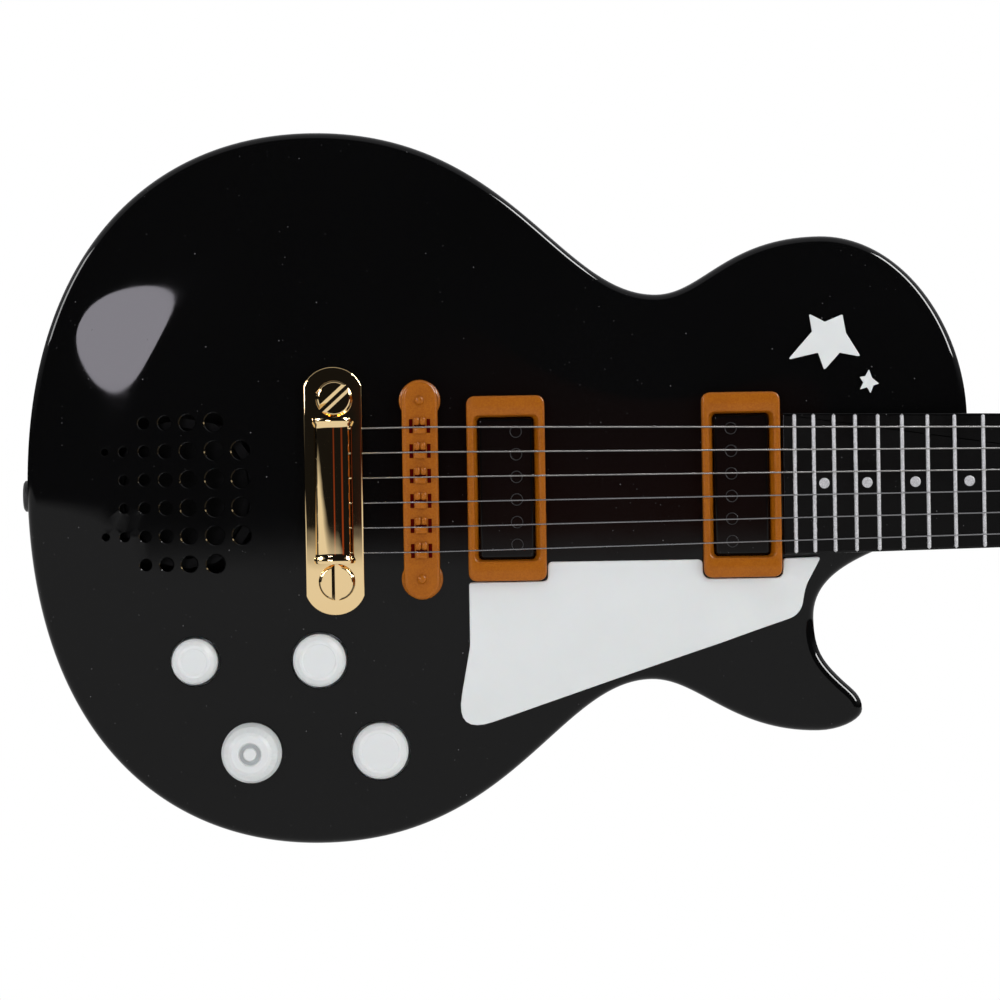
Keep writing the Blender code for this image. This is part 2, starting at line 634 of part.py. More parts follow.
def volume_control():
    recess = [(0, 42.4), (1.5, 42.4), (1.9, 42.0), (1.9, 41.0), (3.1, 41.0), (3.3, 41.9)]
    skirt = [(5.0, 41.9), (5.9, 41.3), (7.6, 38.6), (8.6, 34.6), (8.6, 31.6)]
    knob = [*recess, *skirt, (3.4, 31.6), (3.4, 37.4), (0, 37.4)]
    turned("volume_knob", knob, "white_plastic", at=(*VOLUME, 0))
    turned("volume_shaft", [(0, 37.0), (2.7, 37.0), (3.0, 36.6), (3.0, 22.3), (0, 22.3)],
           "steel", at=(*VOLUME, 0), sides=16)
    base = BOARD_LEVEL + BOARD_THICKNESS + GAP
    turned("potentiometer", [(0, 22.0), (5.5, 22.0), (5.5, base), (0, base)], "steel", at=(*VOLUME, 0))


def electronics():
    top = BOARD_LEVEL + BOARD_THICKNESS
    dome_top = BUTTON_FOOT - BUTTON_TRAVEL - GAP - 0.1
    box("control_board", (40.0, -80.0, BOARD_LEVEL), (110.0, -38.0, top), "board_green")
    outline = [(40.5, -58.5), (90.0, -58.5), (90.0, -79.5), (109.5, -79.5), (109.5, -38.5), (40.5, -38.5)]
    mat = flat_solid("keypad_mat", [outline], top + GAP, top + GAP + 0.5, "rubber_grey")
    places = [(x, y, 3.6) for x, y, radius, inner in BUTTONS]
    combine(mat, pegs("add_key_domes", places, top + GAP + 0.2, dome_top, 16), "UNION")


def speaker():
    basket = [(0, 19.6), (9.5, 19.6), (18.8, 26.2), (18.8, 27.4), (21.5, 27.4), (21.5, 26.0), (19.5, 25.4),
              (12.5, 18.2), (14.0, 18.0), (14.0, 12.0), (0, 12.0)]
    turned("speaker_frame", basket, "steel", at=(SPEAKER_X, 0, 0), sides=16)
    cone = [(0, 22.2), (3.5, 21.9), (6.0, 21.2), (16.5, 26.4), (18.2, 26.8), (18.2, 26.3), (16.6, 25.6),
            (6.0, 20.3), (0, 20.3)]
    turned("speaker_cone", cone, "cone_paper", at=(SPEAKER_X, 0, 0), sides=16)


def battery():
    low_x, high_x, half, depth = BAY
    shoulder = CELL_LENGTH - 1.2
    cell = [(0, CELL_LENGTH), (2.6, CELL_LENGTH), (2.6, shoulder), (CELL_RADIUS - 0.4, shoulder),
            (CELL_RADIUS, shoulder - 0.5), (CELL_RADIUS, 0.4), (CELL_RADIUS - 0.4, 0), (0, 0)]
    start = low_x + 1.5
    for index, y in enumerate((16.0, 0.0, -16.0)):
        forward = index % 2 == 0
        at = (start if forward else start + CELL_LENGTH, y, 9.6)
        turn = math.pi / 2 if forward else -math.pi / 2
        turned(f"battery_cell_{index + 1}", cell, "cell_jacket", at=at, rotation=(0, turn, 0), sides=18)
    door = box("battery_door", (low_x + GAP, -half + GAP, 0.0), (high_x - GAP, half - GAP, 2.0),
               "satin_black")
    combine(door, pegs("cut_door_hole", [(DOOR_SCREW_X, 0.0, 1.7)], -1.0, 4.0, 12))
    combine(door, pegs("cut_door_head", [(DOOR_SCREW_X, 0.0, 3.2)], -1.0, 1.0, 16))
    screw("battery_door_screw", DOOR_SCREW_X, 0.0, -0.8, 2.8, 1.2, 7.5)


def screw(name, x, y, head_z, head_radius, shank_radius, length):
    """A pan-head screw that points out through the face, its head toward the back."""
    profile = [(0, length), (shank_radius, length - 1.0), (shank_radius, 1.5), (head_radius, 1.5),
               (head_radius, 0.5), (head_radius * 0.6, 0), (0, 0)]
    turned(name, profile, "steel", at=(x, y, head_z), sides=10)


def case_screws():
    for index, (x, y) in enumerate(CASE_SCREWS, 1):
        screw(f"case_screw_{index}", x, y, 0.6, 3.0, 1.2, 25.0)
    screw("neck_screw", NECK_SCREW_X, 0.0, 0.6, 3.0, 1.2, 20.0)


def strap_buttons():
    profile = [(0, STRAP_OUT), (3.9, STRAP_OUT), (4.5, STRAP_OUT - 0.5), (4.5, GAP), (2.2, GAP),
               (2.2, -9), (0, -9)]
    turned("strap_button_tail", profile, "satin_black", at=(TAIL_X, 0, STRAP_Z),
           rotation=(0, -math.pi / 2, 0), sides=16)
    profile = [(0, 7.0), (5.0, 7.0), (5.5, 6.4), (5.5, 5.4), (3.0, 4.4), (3.0, 1.6), (4.6, 0.3),
               (2.2, 0.3), (2.2, -9.0), (0, -9.0)]
    turned("strap_button_heel", profile, "satin_black", at=(HEEL_BUTTON_X, 0, 0),
           rotation=(math.pi, 0, 0), sides=16)


# ---- neck ----------------------------------------------------------------------------------------
def neck_section(x, half, bottom, squareness, top=NECK_TOP):
    """A neck cross-section: flat on top, rounded below; a larger squareness gives a boxier one."""
    points = []
    steps = 12
    for step in range(steps + 1):
        angle = math.pi * step / steps
        across, down = math.cos(angle), math.sin(angle)
        y = half * math.copysign(abs(across) ** (2 / squareness), across)
        z = top - (top - bottom) * down ** (2 / squareness)
        points.append((x, y, z))
    return points


def neck_back():
    sections = [(217.2, board_half(217.2), 14.0, 3.5), (270.0, board_half(270.0), 14.0, 3.0)]
    sections += [(x, board_half(x), 14.2 + 0.011 * (x - 285.0), 2.2) for x in (285.0, 340.0, 400.0, 444.0)]
    sections += [(453.0, board_half(453.0), 15.6, 2.4)]
    for (x, half), bottom, squareness in zip(HEADSTOCK, (15.2, 13.0, 11.5, 11.5, 11.5, 11.5, 11.8, 12.5),
                                             (2.6, 4.0, 5.0, 5.0, 5.0, 5.0, 5.0, 4.0)):
        sections.append((x, half, bottom, squareness))
    obj = loft("neck_back_shell", [neck_section(*section) for section in sections], "satin_black")
    combine(obj, box("cut_headstock_step", (453.2, -45.0, RIM_Z), (580.0, 45.0, 45.0)))
    channel = [neck_section(x, board_half(x) - WALL, bottom, 2.4, NECK_TOP + 1.0)
               for x, bottom in ((219.5, 16.4), (270.0, 16.4), (340.0, 17.0), (444.0, 18.2))]
    combine(obj, loft("cut_neck_channel", channel))
    cavity = [neck_section(x, half - 2.4, 13.9, 5.0, NECK_TOP + 1.0) for x, half in HEADSTOCK[2:-1]]
    combine(obj, loft("cut_headstock_cavity", cavity))
    shafts = bmesh.new()
    for x in POST_X:
        through = Matrix.Translation((x + WORM_CENTRE, 0, GEAR_Z)) @ Matrix.Rotation(math.pi / 2, 4, "X")
        bmesh.ops.create_cone(shafts, cap_ends=True, segments=14, radius1=2.2, radius2=2.2, depth=80.0,
                              matrix=through)
    combine(obj, from_bmesh("cut_key_shafts", shafts))
    combine(obj, pegs("cut_neck_screw", [(NECK_SCREW_X, 0.0, 1.6)], 10.0, 24.0, 10))


def fretboard():
    outline = [(BOARD_START, -board_half(BOARD_START)), (BOARD_END, -board_half(BOARD_END)),
               (BOARD_END, board_half(BOARD_END)), (BOARD_START, board_half(BOARD_START))]
    board = flat_solid("fretboard", [outline], BOARD_BOTTOM, BOARD_TOP, "gloss_black")
    ribs = bmesh.new()
    for fret in range(1, FRETS + 1):
        x = NUT_X - SCALE_LENGTH * (1 - 2 ** (-fret / 12))
        half = board_half(x) - 0.1
        made = bmesh.ops.create_cube(ribs, size=1.0)["verts"]
        for vert in made:
            narrow = 0.45 if vert.co.z > 0 else 1.0
            inset = 0.3 if vert.co.z > 0 else 0.0
            z = BOARD_TOP + FRET_HEIGHT if vert.co.z > 0 else BOARD_TOP - 0.4
            vert.co = (x + vert.co.x * FRET_WIDTH * narrow, math.copysign(half - inset, vert.co.y), z)
    combine(board, from_bmesh("add_frets", ribs), "UNION")


def headstock_face():
    outline = [(x, -half) for x, half in HEADSTOCK] + [(x, half) for x, half in reversed(HEADSTOCK)]
    face = flat_solid("headstock_face", [outline], RIM_Z + GAP, FACE_TOP, "gloss_black")
    round_edges(face, 0.7, 1, 60)
    posts = [(x, side * POST_Y, 3.2) for x in POST_X for side in (1, -1)]
    combine(face, pegs("cut_post_holes", posts, 24.0, 34.0, 12))


def nut():
    half = board_half(NUT_X)
    piece = box("nut", (BOARD_END + GAP, -half, RIM_Z + GAP), (FACE_START - GAP, half, 36.0), "pearl_cream")
    round_edges(piece, 0.4, 1, 60)


def tuner_layout():
    """Each string's (post x, side): the outer strings take the posts nearest the nut."""
    return [(POST_X[min(i, STRINGS - 1 - i)], 1 if i < STRINGS / 2 else -1) for i in range(STRINGS)]


def strings():
    for index, (post_x, side) in enumerate(tuner_layout()):
        radius = STRING_RADII[index]
        bridge_y, nut_y = string_y(index, BRIDGE_PITCH), string_y(index, NUT_PITCH)
        path = [(TAILPIECE_X + TAILPIECE_WIDTH / 2 + GAP, bridge_y, 34.6),
                (BRIDGE_X - 1.9, bridge_y, SADDLE_TOP + GAP + radius),
                (BRIDGE_X + 1.9, bridge_y, SADDLE_TOP + GAP + radius),
                (BOARD_END + GAP, nut_y, 36.0 + GAP + radius),
                (FACE_START - GAP, nut_y, 36.0 + GAP + radius),
                (post_x, side * (POST_Y - 2.8 - GAP - radius), 33.2)]
        curve = bpy.data.curves.new(f"string_{index + 1}", "CURVE")
        curve.dimensions = "3D"
        curve.bevel_depth = radius * MM
        curve.bevel_resolution = 1
        curve.use_fill_caps = True
        spline = curve.splines.new("POLY")
        spline.points.add(len(path) - 1)
        for point, co in zip(spline.points, path):
            point.co = (*[value * MM for value in co], 1.0)
        place(bpy.data.objects.new(f"string_{index + 1}", curve), (0, 0, 0), (0, 0, 0), "steel")


# ---- tuners ----------------------------------------------------------------------------------------
def gear_outline():
    """Tapered teeth, with a gap between two of them facing +x, where the worm runs."""
    outline = []
    for tooth in range(GEAR_TEETH):
        centre = 2 * math.pi * (tooth + 0.5) / GEAR_TEETH
        for radius, offset in ((GEAR_ROOT, -0.35), (GEAR_TIP, -0.15), (GEAR_TIP, 0.15), (GEAR_ROOT, 0.35)):
            angle = centre + offset / radius
            outline.append((radius * math.cos(angle), radius * math.sin(angle)))
    return outline


def tuner_post(index, x, y):
    profile = [(0, 36.6), (2.2, 36.6), (2.8, 36.0), (2.8, 34.6), (2.2, 34.0), (2.2, 32.2), (2.8, 31.6),
               (2.8, 22.0), (1.9, 22.0), (1.9, 15.6), (0, 15.6)]
    post = turned(f"tuner_post_{index}", profile, "steel", at=(x, y, 0), sides=10)
    gear = flat_solid(f"add_gear_{index}", [gear_outline()], GEAR_Z - GEAR_FACE / 2, GEAR_Z + GEAR_FACE / 2,
                      at=(x, y, 0))
    combine(post, gear, "UNION")


def worm_thread(name, at):
    """A helix whose thread faces the gear's gap at the middle of the worm."""
    curve = bpy.data.curves.new(name, "CURVE")
    curve.dimensions = "3D"
    curve.bevel_depth = THREAD_DEPTH * MM
    curve.bevel_resolution = 0
    curve.use_fill_caps = True
    spline = curve.splines.new("POLY")
    steps = 8 * WORM_TURNS
    spline.points.add(steps)
    for step, point in enumerate(spline.points):
        turn = math.pi + 2 * math.pi * WORM_TURNS * (step / steps - 0.5)
        advance = WORM_PITCH * WORM_TURNS * (step / steps - 0.5)
        point.co = (THREAD_RADIUS * math.cos(turn) * MM, advance * MM,
                    THREAD_RADIUS * math.sin(turn) * MM, 1.0)
    drawn = bpy.data.objects.new(name + "_curve", curve)
    CUTTERS.objects.link(drawn)
    mesh = bpy.data.meshes.new_from_object(drawn.evaluated_get(bpy.context.evaluated_depsgraph_get()))
    bpy.data.objects.remove(drawn, do_unlink=True)
    bm = bmesh.new()
    bm.from_mesh(mesh)
    bmesh.ops.remove_doubles(bm, verts=bm.verts, dist=0.00001)
    bmesh.ops.recalc_face_normals(bm, faces=bm.faces)
    bmesh.ops.scale(bm, vec=(1 / MM, 1 / MM, 1 / MM), verts=bm.verts)
    return from_bmesh(name, bm, at=at)


def headstock_half(x):
    for (x0, half0), (x1, half1) in zip(HEADSTOCK, HEADSTOCK[1:]):
        if x0 <= x <= x1:
            return half0 + (half1 - half0) * (x - x0) / (x1 - x0)
    return HEADSTOCK[-1][1]


def tuner_key(index, x, side):
    """Worm, shaft and grip: the profile's height is the distance outward from the post."""
    at = (x + WORM_CENTRE, side * POST_Y, GEAR_Z)
    wall = headstock_half(x + WORM_CENTRE) - POST_Y
    profile = [(0, wall + 6.0), (1.8, wall + 6.0), (1.8, wall + 1.8), (3.2, wall + 1.8), (3.2, wall + 0.5),
               (1.8, wall + 0.5), (1.8, 4.2), (1.15, 3.8), (1.15, -4.0), (0, -4.0)]
    key = turned(f"tuner_key_{index}", profile, "pearl_cream", at=at,
                 rotation=(-side * math.pi / 2, 0, 0), sides=10)
    grip = bmesh.new()
    bmesh.ops.create_uvsphere(grip, u_segments=10, v_segments=6, radius=1.0)
    bmesh.ops.scale(grip, vec=(8.0, 6.0, 2.6), verts=grip.verts)
    grip_at = (at[0], side * (POST_Y + wall + 9.5), GEAR_Z)
    combine(key, from_bmesh(f"add_grip_{index}", grip, at=grip_at), "UNION")
    combine(key, worm_thread(f"add_thread_{index}", at), "UNION")


def tuners():
    for index, (x, side) in enumerate(tuner_layout(), 1):
        tuner_post(index, x, side * POST_Y)
        tuner_key(index, x, side)


# ---- assembly --------------------------------------------------------------------------------------
clear_scene()
PARTS = new_collection("toy_electric_guitar")
CUTTERS = new_collection("cutters")
MATERIALS = make_materials()
GUITAR = bpy.data.objects.new("guitar", None)
PARTS.objects.link(GUITAR)
GUITAR.rotation_euler = (math.pi / 2, 0, 0)
GUITAR.location = (STRAP_OUT * MM, STRAP_Z * MM, 0)
OUTLINE = body_outline()

front_shell()
back_shell()
pickguard()
star_inlays()
pickups()
bridge()
tailpiece()
buttons()
volume_control()
electronics()
speaker()
battery()
case_screws()
strap_buttons()
neck_back()
fretboard()
headstock_face()
nut()
strings()
tuners()
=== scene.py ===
"""Looks of the toy electric guitar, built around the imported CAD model.

Shapes are laid out in the guitar's own frame in millimetres: x along the neck, y toward the bass strings,
z from the flat back out through the face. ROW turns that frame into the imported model's metres.
"""
import math

import bmesh
import bpy
import numpy as np
from mathutils import Matrix, Vector
from mathutils.geometry import delaunay_2d_cdt


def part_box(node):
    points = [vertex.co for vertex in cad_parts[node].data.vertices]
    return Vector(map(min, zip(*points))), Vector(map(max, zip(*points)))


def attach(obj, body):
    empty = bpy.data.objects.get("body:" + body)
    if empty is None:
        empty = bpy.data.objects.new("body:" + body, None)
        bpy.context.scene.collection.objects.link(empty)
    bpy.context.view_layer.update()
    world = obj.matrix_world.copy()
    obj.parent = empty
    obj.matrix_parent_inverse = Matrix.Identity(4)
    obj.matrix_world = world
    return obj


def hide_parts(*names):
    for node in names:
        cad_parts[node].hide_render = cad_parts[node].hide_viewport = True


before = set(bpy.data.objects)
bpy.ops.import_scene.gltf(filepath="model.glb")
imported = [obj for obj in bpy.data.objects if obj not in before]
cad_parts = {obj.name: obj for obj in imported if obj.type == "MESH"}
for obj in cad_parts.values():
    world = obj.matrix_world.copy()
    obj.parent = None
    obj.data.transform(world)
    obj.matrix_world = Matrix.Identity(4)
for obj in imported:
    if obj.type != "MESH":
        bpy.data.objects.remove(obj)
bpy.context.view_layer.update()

MM = 0.001
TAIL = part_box("body_back_shell")[0][0]          # the body's tail end, where x is 0
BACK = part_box("body_back_shell")[1][1]          # the flat back, where z is 0
ROW = Matrix(((MM, 0, 0, TAIL), (0, 0, -MM, BACK), (0, MM, 0, 0), (0, 0, 0, 1)))
ROOT = "guitar_body"                            # the body that pieces ride on unless told otherwise
GAP = 0.3                                       # clearance between neighbouring plastic parts


def local_box(node):
    """A CAD node's (x from, x to), (y from, y to), (z from, z to) in the guitar's frame."""
    low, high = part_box(node)
    return (((low[0] - TAIL) / MM, (high[0] - TAIL) / MM), (low[2] / MM, high[2] / MM),
            ((BACK - high[1]) / MM, (BACK - low[1]) / MM))


def centre_of(node):
    """The x and y of a node's middle."""
    (x0, x1), (y0, y1) = local_box(node)[:2]
    return (x0 + x1) / 2, (y0 + y1) / 2


# ---- sizes taken from the frame ------------------------------------------------------------------
BODY_X, BODY_Y, FRONT_Z = local_box("body_front_shell")
BACK_Z = local_box("body_back_shell")[2]
TAIL_X, HEEL_X = BODY_X
BASS_BOUT, TREBLE_BOUT = BODY_Y[1], -BODY_Y[0]
CROWN_Z = FRONT_Z[1]
BOARD_X, BOARD_Z = local_box("fretboard")[::2]
FRET_HEIGHT = 0.8
BOARD_TOP = BOARD_Z[1] - FRET_HEIGHT
NUT_BOX = local_box("nut")
FACE_BOX = local_box("headstock_face")

# ---- body shape ------------------------------------------------------------------------------------
WALL = 1.8                                      # thickness of the top's shell
BASS_WAIST = 55.0                               # these four are half widths from the centre line
TREBLE_WAIST = 55.5
HORN = 71.0
HEEL_HALF = 17.0
SHOULDER_Z = 24.0
FRONT_EDGE = 3.2
BACK_EDGE = 2.8
ARCH_RUN = 30.0                                 # the top rises over this distance from the rim
HORN_FLAT_FROM = (196.0, -24.0)                 # from this x and y the arch flattens toward the treble horn,
HORN_FLAT_RUN = (16.0, 14.0)                    # and it is flat after this much more of each
FILLET_END = math.radians(75)                   # the rounded rim meets the arch's own slope here
RIGHT, UP, LEFT, DOWN = Vector((1, 0)), Vector((0, 1)), Vector((-1, 0)), Vector((0, -1))
UP_LEFT = Vector((-0.71, 0.70))
UP_RIGHT = Vector((0.94, 0.34))
BODY_LANDMARKS = (                              # x, y, heading, fullness
    (HEEL_X, 18.0, UP, 0.50),
    (228.5, HORN, LEFT, 0.57),
    (181.5, BASS_WAIST, LEFT, 0.28),
    (83.0, BASS_BOUT, LEFT, 0.58),
    (TAIL_X, 1.5, DOWN, 0.65),
    (83.0, -TREBLE_BOUT, RIGHT, 0.58),
    (178.5, -TREBLE_WAIST, RIGHT, 0.28),
    (226.0, -HORN, RIGHT, 0.52),
    (238.8, -65.0, UP, 0.48),
    (233.0, -56.4, UP_LEFT, 0.42),
    (225.2, -38.5, UP, 0.52),
    (250.0, -HEEL_HALF, UP_RIGHT, 0.50),
)
BOARD_HALF_AT_220 = 20.15                       # the fretboard's half width at x 220
BOARD_TAPER = 0.0176                            # what it loses per mm toward the nut

# ---- neck, strings and headstock -------------------------------------------------------------------
SCALE_LENGTH = 326.4
NUT_X = 454.7
FRETS = 22
DOT_FRETS = (3, 5, 7, 9, 12, 15, 17, 19, 21)
STRINGS = 6
BRIDGE_X = centre_of("bridge_bar")[0]
BRIDGE_PITCH = 7.1
NUT_PITCH = 5.0
STRING_RADII = (0.26, 0.24, 0.22, 0.20, 0.19, 0.18)
WOUND_STRINGS = 3                               # the first three have a wire wrapped round them
HEADSTOCK = (                                   # x and half width
    (457.2, 17.0), (465.0, 22.0), (473.0, 27.0), (488.0, 28.5),
    (520.0, 27.5), (540.0, 26.0), (551.0, 21.5), (557.5, 13.5))
POST_Y = 17.0                                   # the tuner posts stand this far from the centre line
POST_NECK = 2.2                                 # radius of a post where its string winds
GEAR_Z = 19.5
GEAR_TEETH = 14
WORM_CENTRE = 5.1                               # from a post's axis to its worm's
WORM_PITCH = math.pi / 2

# ---- controls --------------------------------------------------------------------------------------
GRILLE_ROW_PITCH = 8.1
GRILLE_COLUMNS = (                              # x and hole radius
    (22.9, 0.95), (28.3, 1.3), (34.2, 1.6), (40.2, 1.9), (46.7, 2.3), (54.2, 2.65), (61.8, 2.65))
GRILLE_ROWS = (                                 # rows from the centre line, first column, end column
    (-2.5, 2, 6), (-1.5, 0, 7), (-0.5, 1, 7), (0.5, 1, 7), (1.5, 0, 7), (2.5, 2, 6))
GUARD_POINTS = (                                # x, y and corner radius
    (126.5, -44.8, 9.5), (121.8, -70.3, 8.0), (221.3, -37.5, 10.0), (222.8, -29.3, 14.0),
    (227.3, -21.0, 0.8), (216.3, -21.2, 1.0), (216.2, -26.7, 2.0), (193.3, -26.7, 2.5),
    (193.3, -21.2, 1.5), (149.0, -21.2, 1.5), (149.0, -26.7, 1.5), (126.5, -26.7, 1.0),
)
STARS = (                                       # softness, then a tip and a hollow in turn
    ("star_inlay_large", 0.4, (
        (224.8, 48.5), (225.6, 43.4), (218.5, 35.4), (227.2, 37.3), (228.9, 32.3),
        (233.4, 37.2), (239.4, 36.0), (235.3, 42.8), (234.4, 48.2), (229.3, 46.1))),
    ("star_inlay_small", 0.15, (
        (241.7, 32.3), (240.6, 30.4), (239.0, 30.2), (240.0, 28.6), (239.0, 26.6),
        (241.1, 27.2), (242.0, 25.5), (242.9, 27.7), (244.5, 28.2), (242.5, 29.9))),
)
DOOR_SCREW_X = centre_of("battery_door_screw")[0]
CASE_SCREWS = ("case_screw_1", "case_screw_2", "case_screw_3", "case_screw_4", "neck_screw")


# ---- materials ---------------------------------------------------------------------------------------
class Graph:
    """Short ways to build the nodes of a material or of the surroundings."""

    def __init__(self, tree):
        self.nodes, self.links = tree.nodes, tree.links

    def join(self, value, slot):
        """Link another node's output to a slot, or set the slot to a plain value."""
        if hasattr(value, "is_linked"):
            self.links.new(value, slot)
        else:
            slot.default_value = value

    def node(self, kind, **inputs):
        made = self.nodes.new("ShaderNode" + kind)
        for key, value in inputs.items():
            self.join(value, made.inputs[key.replace("_", " ")])
        return made

    def math(self, operation, first, second):
        made = self.nodes.new("ShaderNodeMath")
        made.operation = operation
        self.join(first, made.inputs[0])
        self.join(second, made.inputs[1])
        return made.outputs[0]

    def ramp(self, value, low=0.0, high=1.0, from_low=0.0, from_high=1.0):
        """Go from low to high while the value goes from from_low to from_high."""
        made = self.node("MapRange", Value=value, From_Min=from_low, From_Max=from_high,
                         To_Min=low, To_Max=high)
        return made.outputs["Result"]

    def mix(self, factor, first, second):
        """Blend two colours, each an output or a plain (red, green, blue)."""
        made = self.nodes.new("ShaderNodeMix")
        made.data_type = "RGBA"
        self.join(factor, made.inputs[0])
        for colour, slot in ((first, made.inputs[6]), (second, made.inputs[7])):
            self.join((*colour, 1.0) if isinstance(colour, tuple) else colour, slot)
        return made.outputs[2]


class Paint(Graph):
    """A Principled material whose textures read the object's own coordinates, in metres."""

    def __init__(self, name, rgb, roughness, metallic=0.0, **extra):
        self.material = bpy.data.materials.new(name)
        self.material.use_nodes = True
        super().__init__(self.material.node_tree)
        self.shader = self.nodes["Principled BSDF"]
        self.place = self.nodes.new("ShaderNodeTexCoord").outputs["Object"]
        self.shader.inputs["Base Color"].default_value = (*rgb, 1.0)
        self.shader.inputs["Roughness"].default_value = roughness
        self.shader.inputs["Metallic"].default_value = metallic
        for key, value in extra.items():
            self.shader.inputs[key.replace("_", " ")].default_value = value

    def stretched(self, scale):
        return self.node("Mapping", Vector=self.place, Scale=scale).outputs["Vector"]

    def noise(self, scale, detail=3.0, roughness=0.5, vector=None):
        made = self.node("TexNoise", Vector=vector or self.place, Scale=scale, Detail=detail,
                         Roughness=roughness)
        return made.outputs["Fac"]

    def cells(self, scale, output="Distance"):
        return self.node("TexVoronoi", Vector=self.place, Scale=scale).outputs[output]

    def uneven(self, low, high, scale, detail):
        """A roughness that wanders between two values."""
        return self.ramp(self.noise(scale, detail), low, high, 0.3, 0.7)

    def finished(self, colour, roughness, height, strength, distance=0.0001):
        """Join colour, roughness and bumps to the shader, and hand over the material."""
        bump = self.node("Bump", Height=height, Strength=strength, Distance=distance)
        self.join(colour, self.shader.inputs["Base Color"])
        self.join(roughness, self.shader.inputs["Roughness"])
        self.join(bump.outputs["Normal"], self.shader.inputs["Normal"])
        return self.material


def dust(paint, spacing, size):
    """A mask of small specks, a few of which show in each patch of the surface."""
    distance = paint.cells(1.0 / spacing)
    speck = paint.ramp(distance, 1.0, 0.0, 0.0, size / spacing)
    chosen = paint.ramp(paint.noise(0.35 / spacing, 1.0), 0.0, 1.0, 0.52, 0.56)
    return paint.math("MULTIPLY", speck, chosen)


def black_gloss(name, base=0.0015, roughness=0.025):
    """Polished black plastic with a little dust and faint rub marks."""
    paint = Paint(name, (base, base, base), roughness, Specular_IOR_Level=0.19)
    specks = paint.math("MAXIMUM", dust(paint, 0.0035, 0.00022), dust(paint, 0.0021, 0.00012))
    mottle = paint.mix(paint.noise(9.0, 4.0), (base, base, base), (base * 2.2, base * 2.2, base * 2.3))
    rubbed = paint.ramp(paint.noise(60.0, 5.0, 0.6), roughness * 0.7, roughness * 1.6, 0.3, 0.7)
    return paint.finished(paint.mix(specks, mottle, (0.20, 0.20, 0.20)),
                          paint.math("ADD", rubbed, paint.math("MULTIPLY", specks, 0.5)),
                          paint.noise(45.0, 2.0), 0.02, 0.0004)


def black_satin(name):
    """Spark-textured black plastic."""
    paint = Paint(name, (0.010, 0.010, 0.011), 0.42)
    return paint.finished(paint.mix(paint.noise(30.0, 4.0), (0.007, 0.007, 0.008), (0.016, 0.016, 0.017)),
                          paint.uneven(0.34, 0.52, 140.0, 4.0), paint.noise(2600.0, 3.0), 0.22)


def amber_pearl():
    """Amber plastic full of fine pearl flakes."""
    paint = Paint("amber_pearl", (0.36, 0.11, 0.006), 0.4, Specular_IOR_Level=0.12, Coat_Weight=0.2,
                  Coat_Roughness=0.12)
    flakes = paint.ramp(paint.cells(2600.0, "Color"), 0.0, 1.0, 0.15, 0.95)
    body = paint.mix(paint.noise(160.0, 4.0), (0.25, 0.064, 0.001), (0.34, 0.094, 0.002))
    return paint.finished(paint.mix(paint.math("MULTIPLY", flakes, 0.25), body, (0.55, 0.20, 0.01)),
                          paint.uneven(0.32, 0.48, 900.0, 2.0), paint.noise(1500.0, 2.0), 0.08)


def white_plastic(name, tint=(0.735, 0.76, 0.75)):
    """White plastic with a faint mottle and a few dark specks."""
    paint = Paint(name, tint, 0.35, Specular_IOR_Level=0.12, Subsurface_Weight=0.08, Subsurface_Scale=0.002)
    mottle = paint.mix(paint.noise(55.0, 4.0), tuple(value * 0.93 for value in tint), tint)
    return paint.finished(paint.mix(dust(paint, 0.005, 0.00016), mottle, (0.35, 0.33, 0.30)),
                          paint.uneven(0.28, 0.45, 300.0, 4.0), paint.noise(1400.0, 3.0), 0.06)


def gold_mirror():
    """Vacuum-plated plastic: a gold mirror with a slightly wavy skin."""
    paint = Paint("gold_mirror", (0.95, 0.70, 0.36), 0.05, 1.0)
    return paint.finished(paint.mix(paint.noise(40.0, 3.0), (0.93, 0.66, 0.32), (0.97, 0.76, 0.44)),
                          paint.ramp(paint.noise(220.0, 4.0), 0.008, 0.022, 0.35, 0.75),
                          paint.noise(70.0, 2.0), 0.02, 0.0004)


def silver_paint():
    """Silver paint with fine flakes, printed on the frets and dots."""
    paint = Paint("silver_paint", (0.55, 0.55, 0.56), 0.42, 0.35)
    flakes = paint.ramp(paint.cells(3600.0, "Color"), 0.0, 1.0, 0.1, 0.9)
    return paint.finished(paint.mix(flakes, (0.44, 0.44, 0.45), (0.66, 0.66, 0.67)),
                          paint.uneven(0.32, 0.52, 1600.0, 3.0), paint.noise(1800.0, 3.0), 0.25, 0.00012)


def steel(name, base=(0.50, 0.50, 0.51), roughness=0.28, stretch=(1.0, 1.0, 1.0)):
    """Bright metal with a fine grain, which the stretch can draw out along an axis."""
    paint = Paint(name, base, roughness, 1.0)
    grain = paint.noise(900.0, 3.0, 0.6, paint.stretched(stretch))
    return paint.finished(paint.mix(grain, tuple(value * 0.8 for value in base), base),
                          paint.ramp(grain, roughness * 0.7, roughness * 1.4, 0.3, 0.7), grain, 0.05)


def wound_string():
    """A wrap wire's ridges across a string that runs along x; its colour is darker in the grooves between the
    turns, which is painted shade.
    """
    paint = Paint("wound_string", (0.42, 0.41, 0.39), 0.32, 1.0)
    wave = paint.node("TexWave", Vector=paint.place, Scale=640.0, Distortion=0.0)
    wave.bands_direction = "X"
    ridge = wave.outputs["Fac"]
    # the darker colour in the grooves between the turns is painted shade
    return paint.finished(paint.mix(ridge, (0.14, 0.14, 0.14), (0.34, 0.33, 0.32)),
                          paint.ramp(ridge, 0.45, 0.25), ridge, 0.6)


def plain_matte(name, low, high, roughness, scale=200.0, **extra):
    """A dull material that wanders between two colours."""
    paint = Paint(name, low, roughness, **extra)
    rough = paint.ramp(paint.noise(scale * 3, 3.0), roughness * 0.85, min(1.0, roughness * 1.15))
    return paint.finished(paint.mix(paint.noise(scale, 5.0), low, high), rough,
                          paint.noise(scale * 6, 3.0), 0.15)


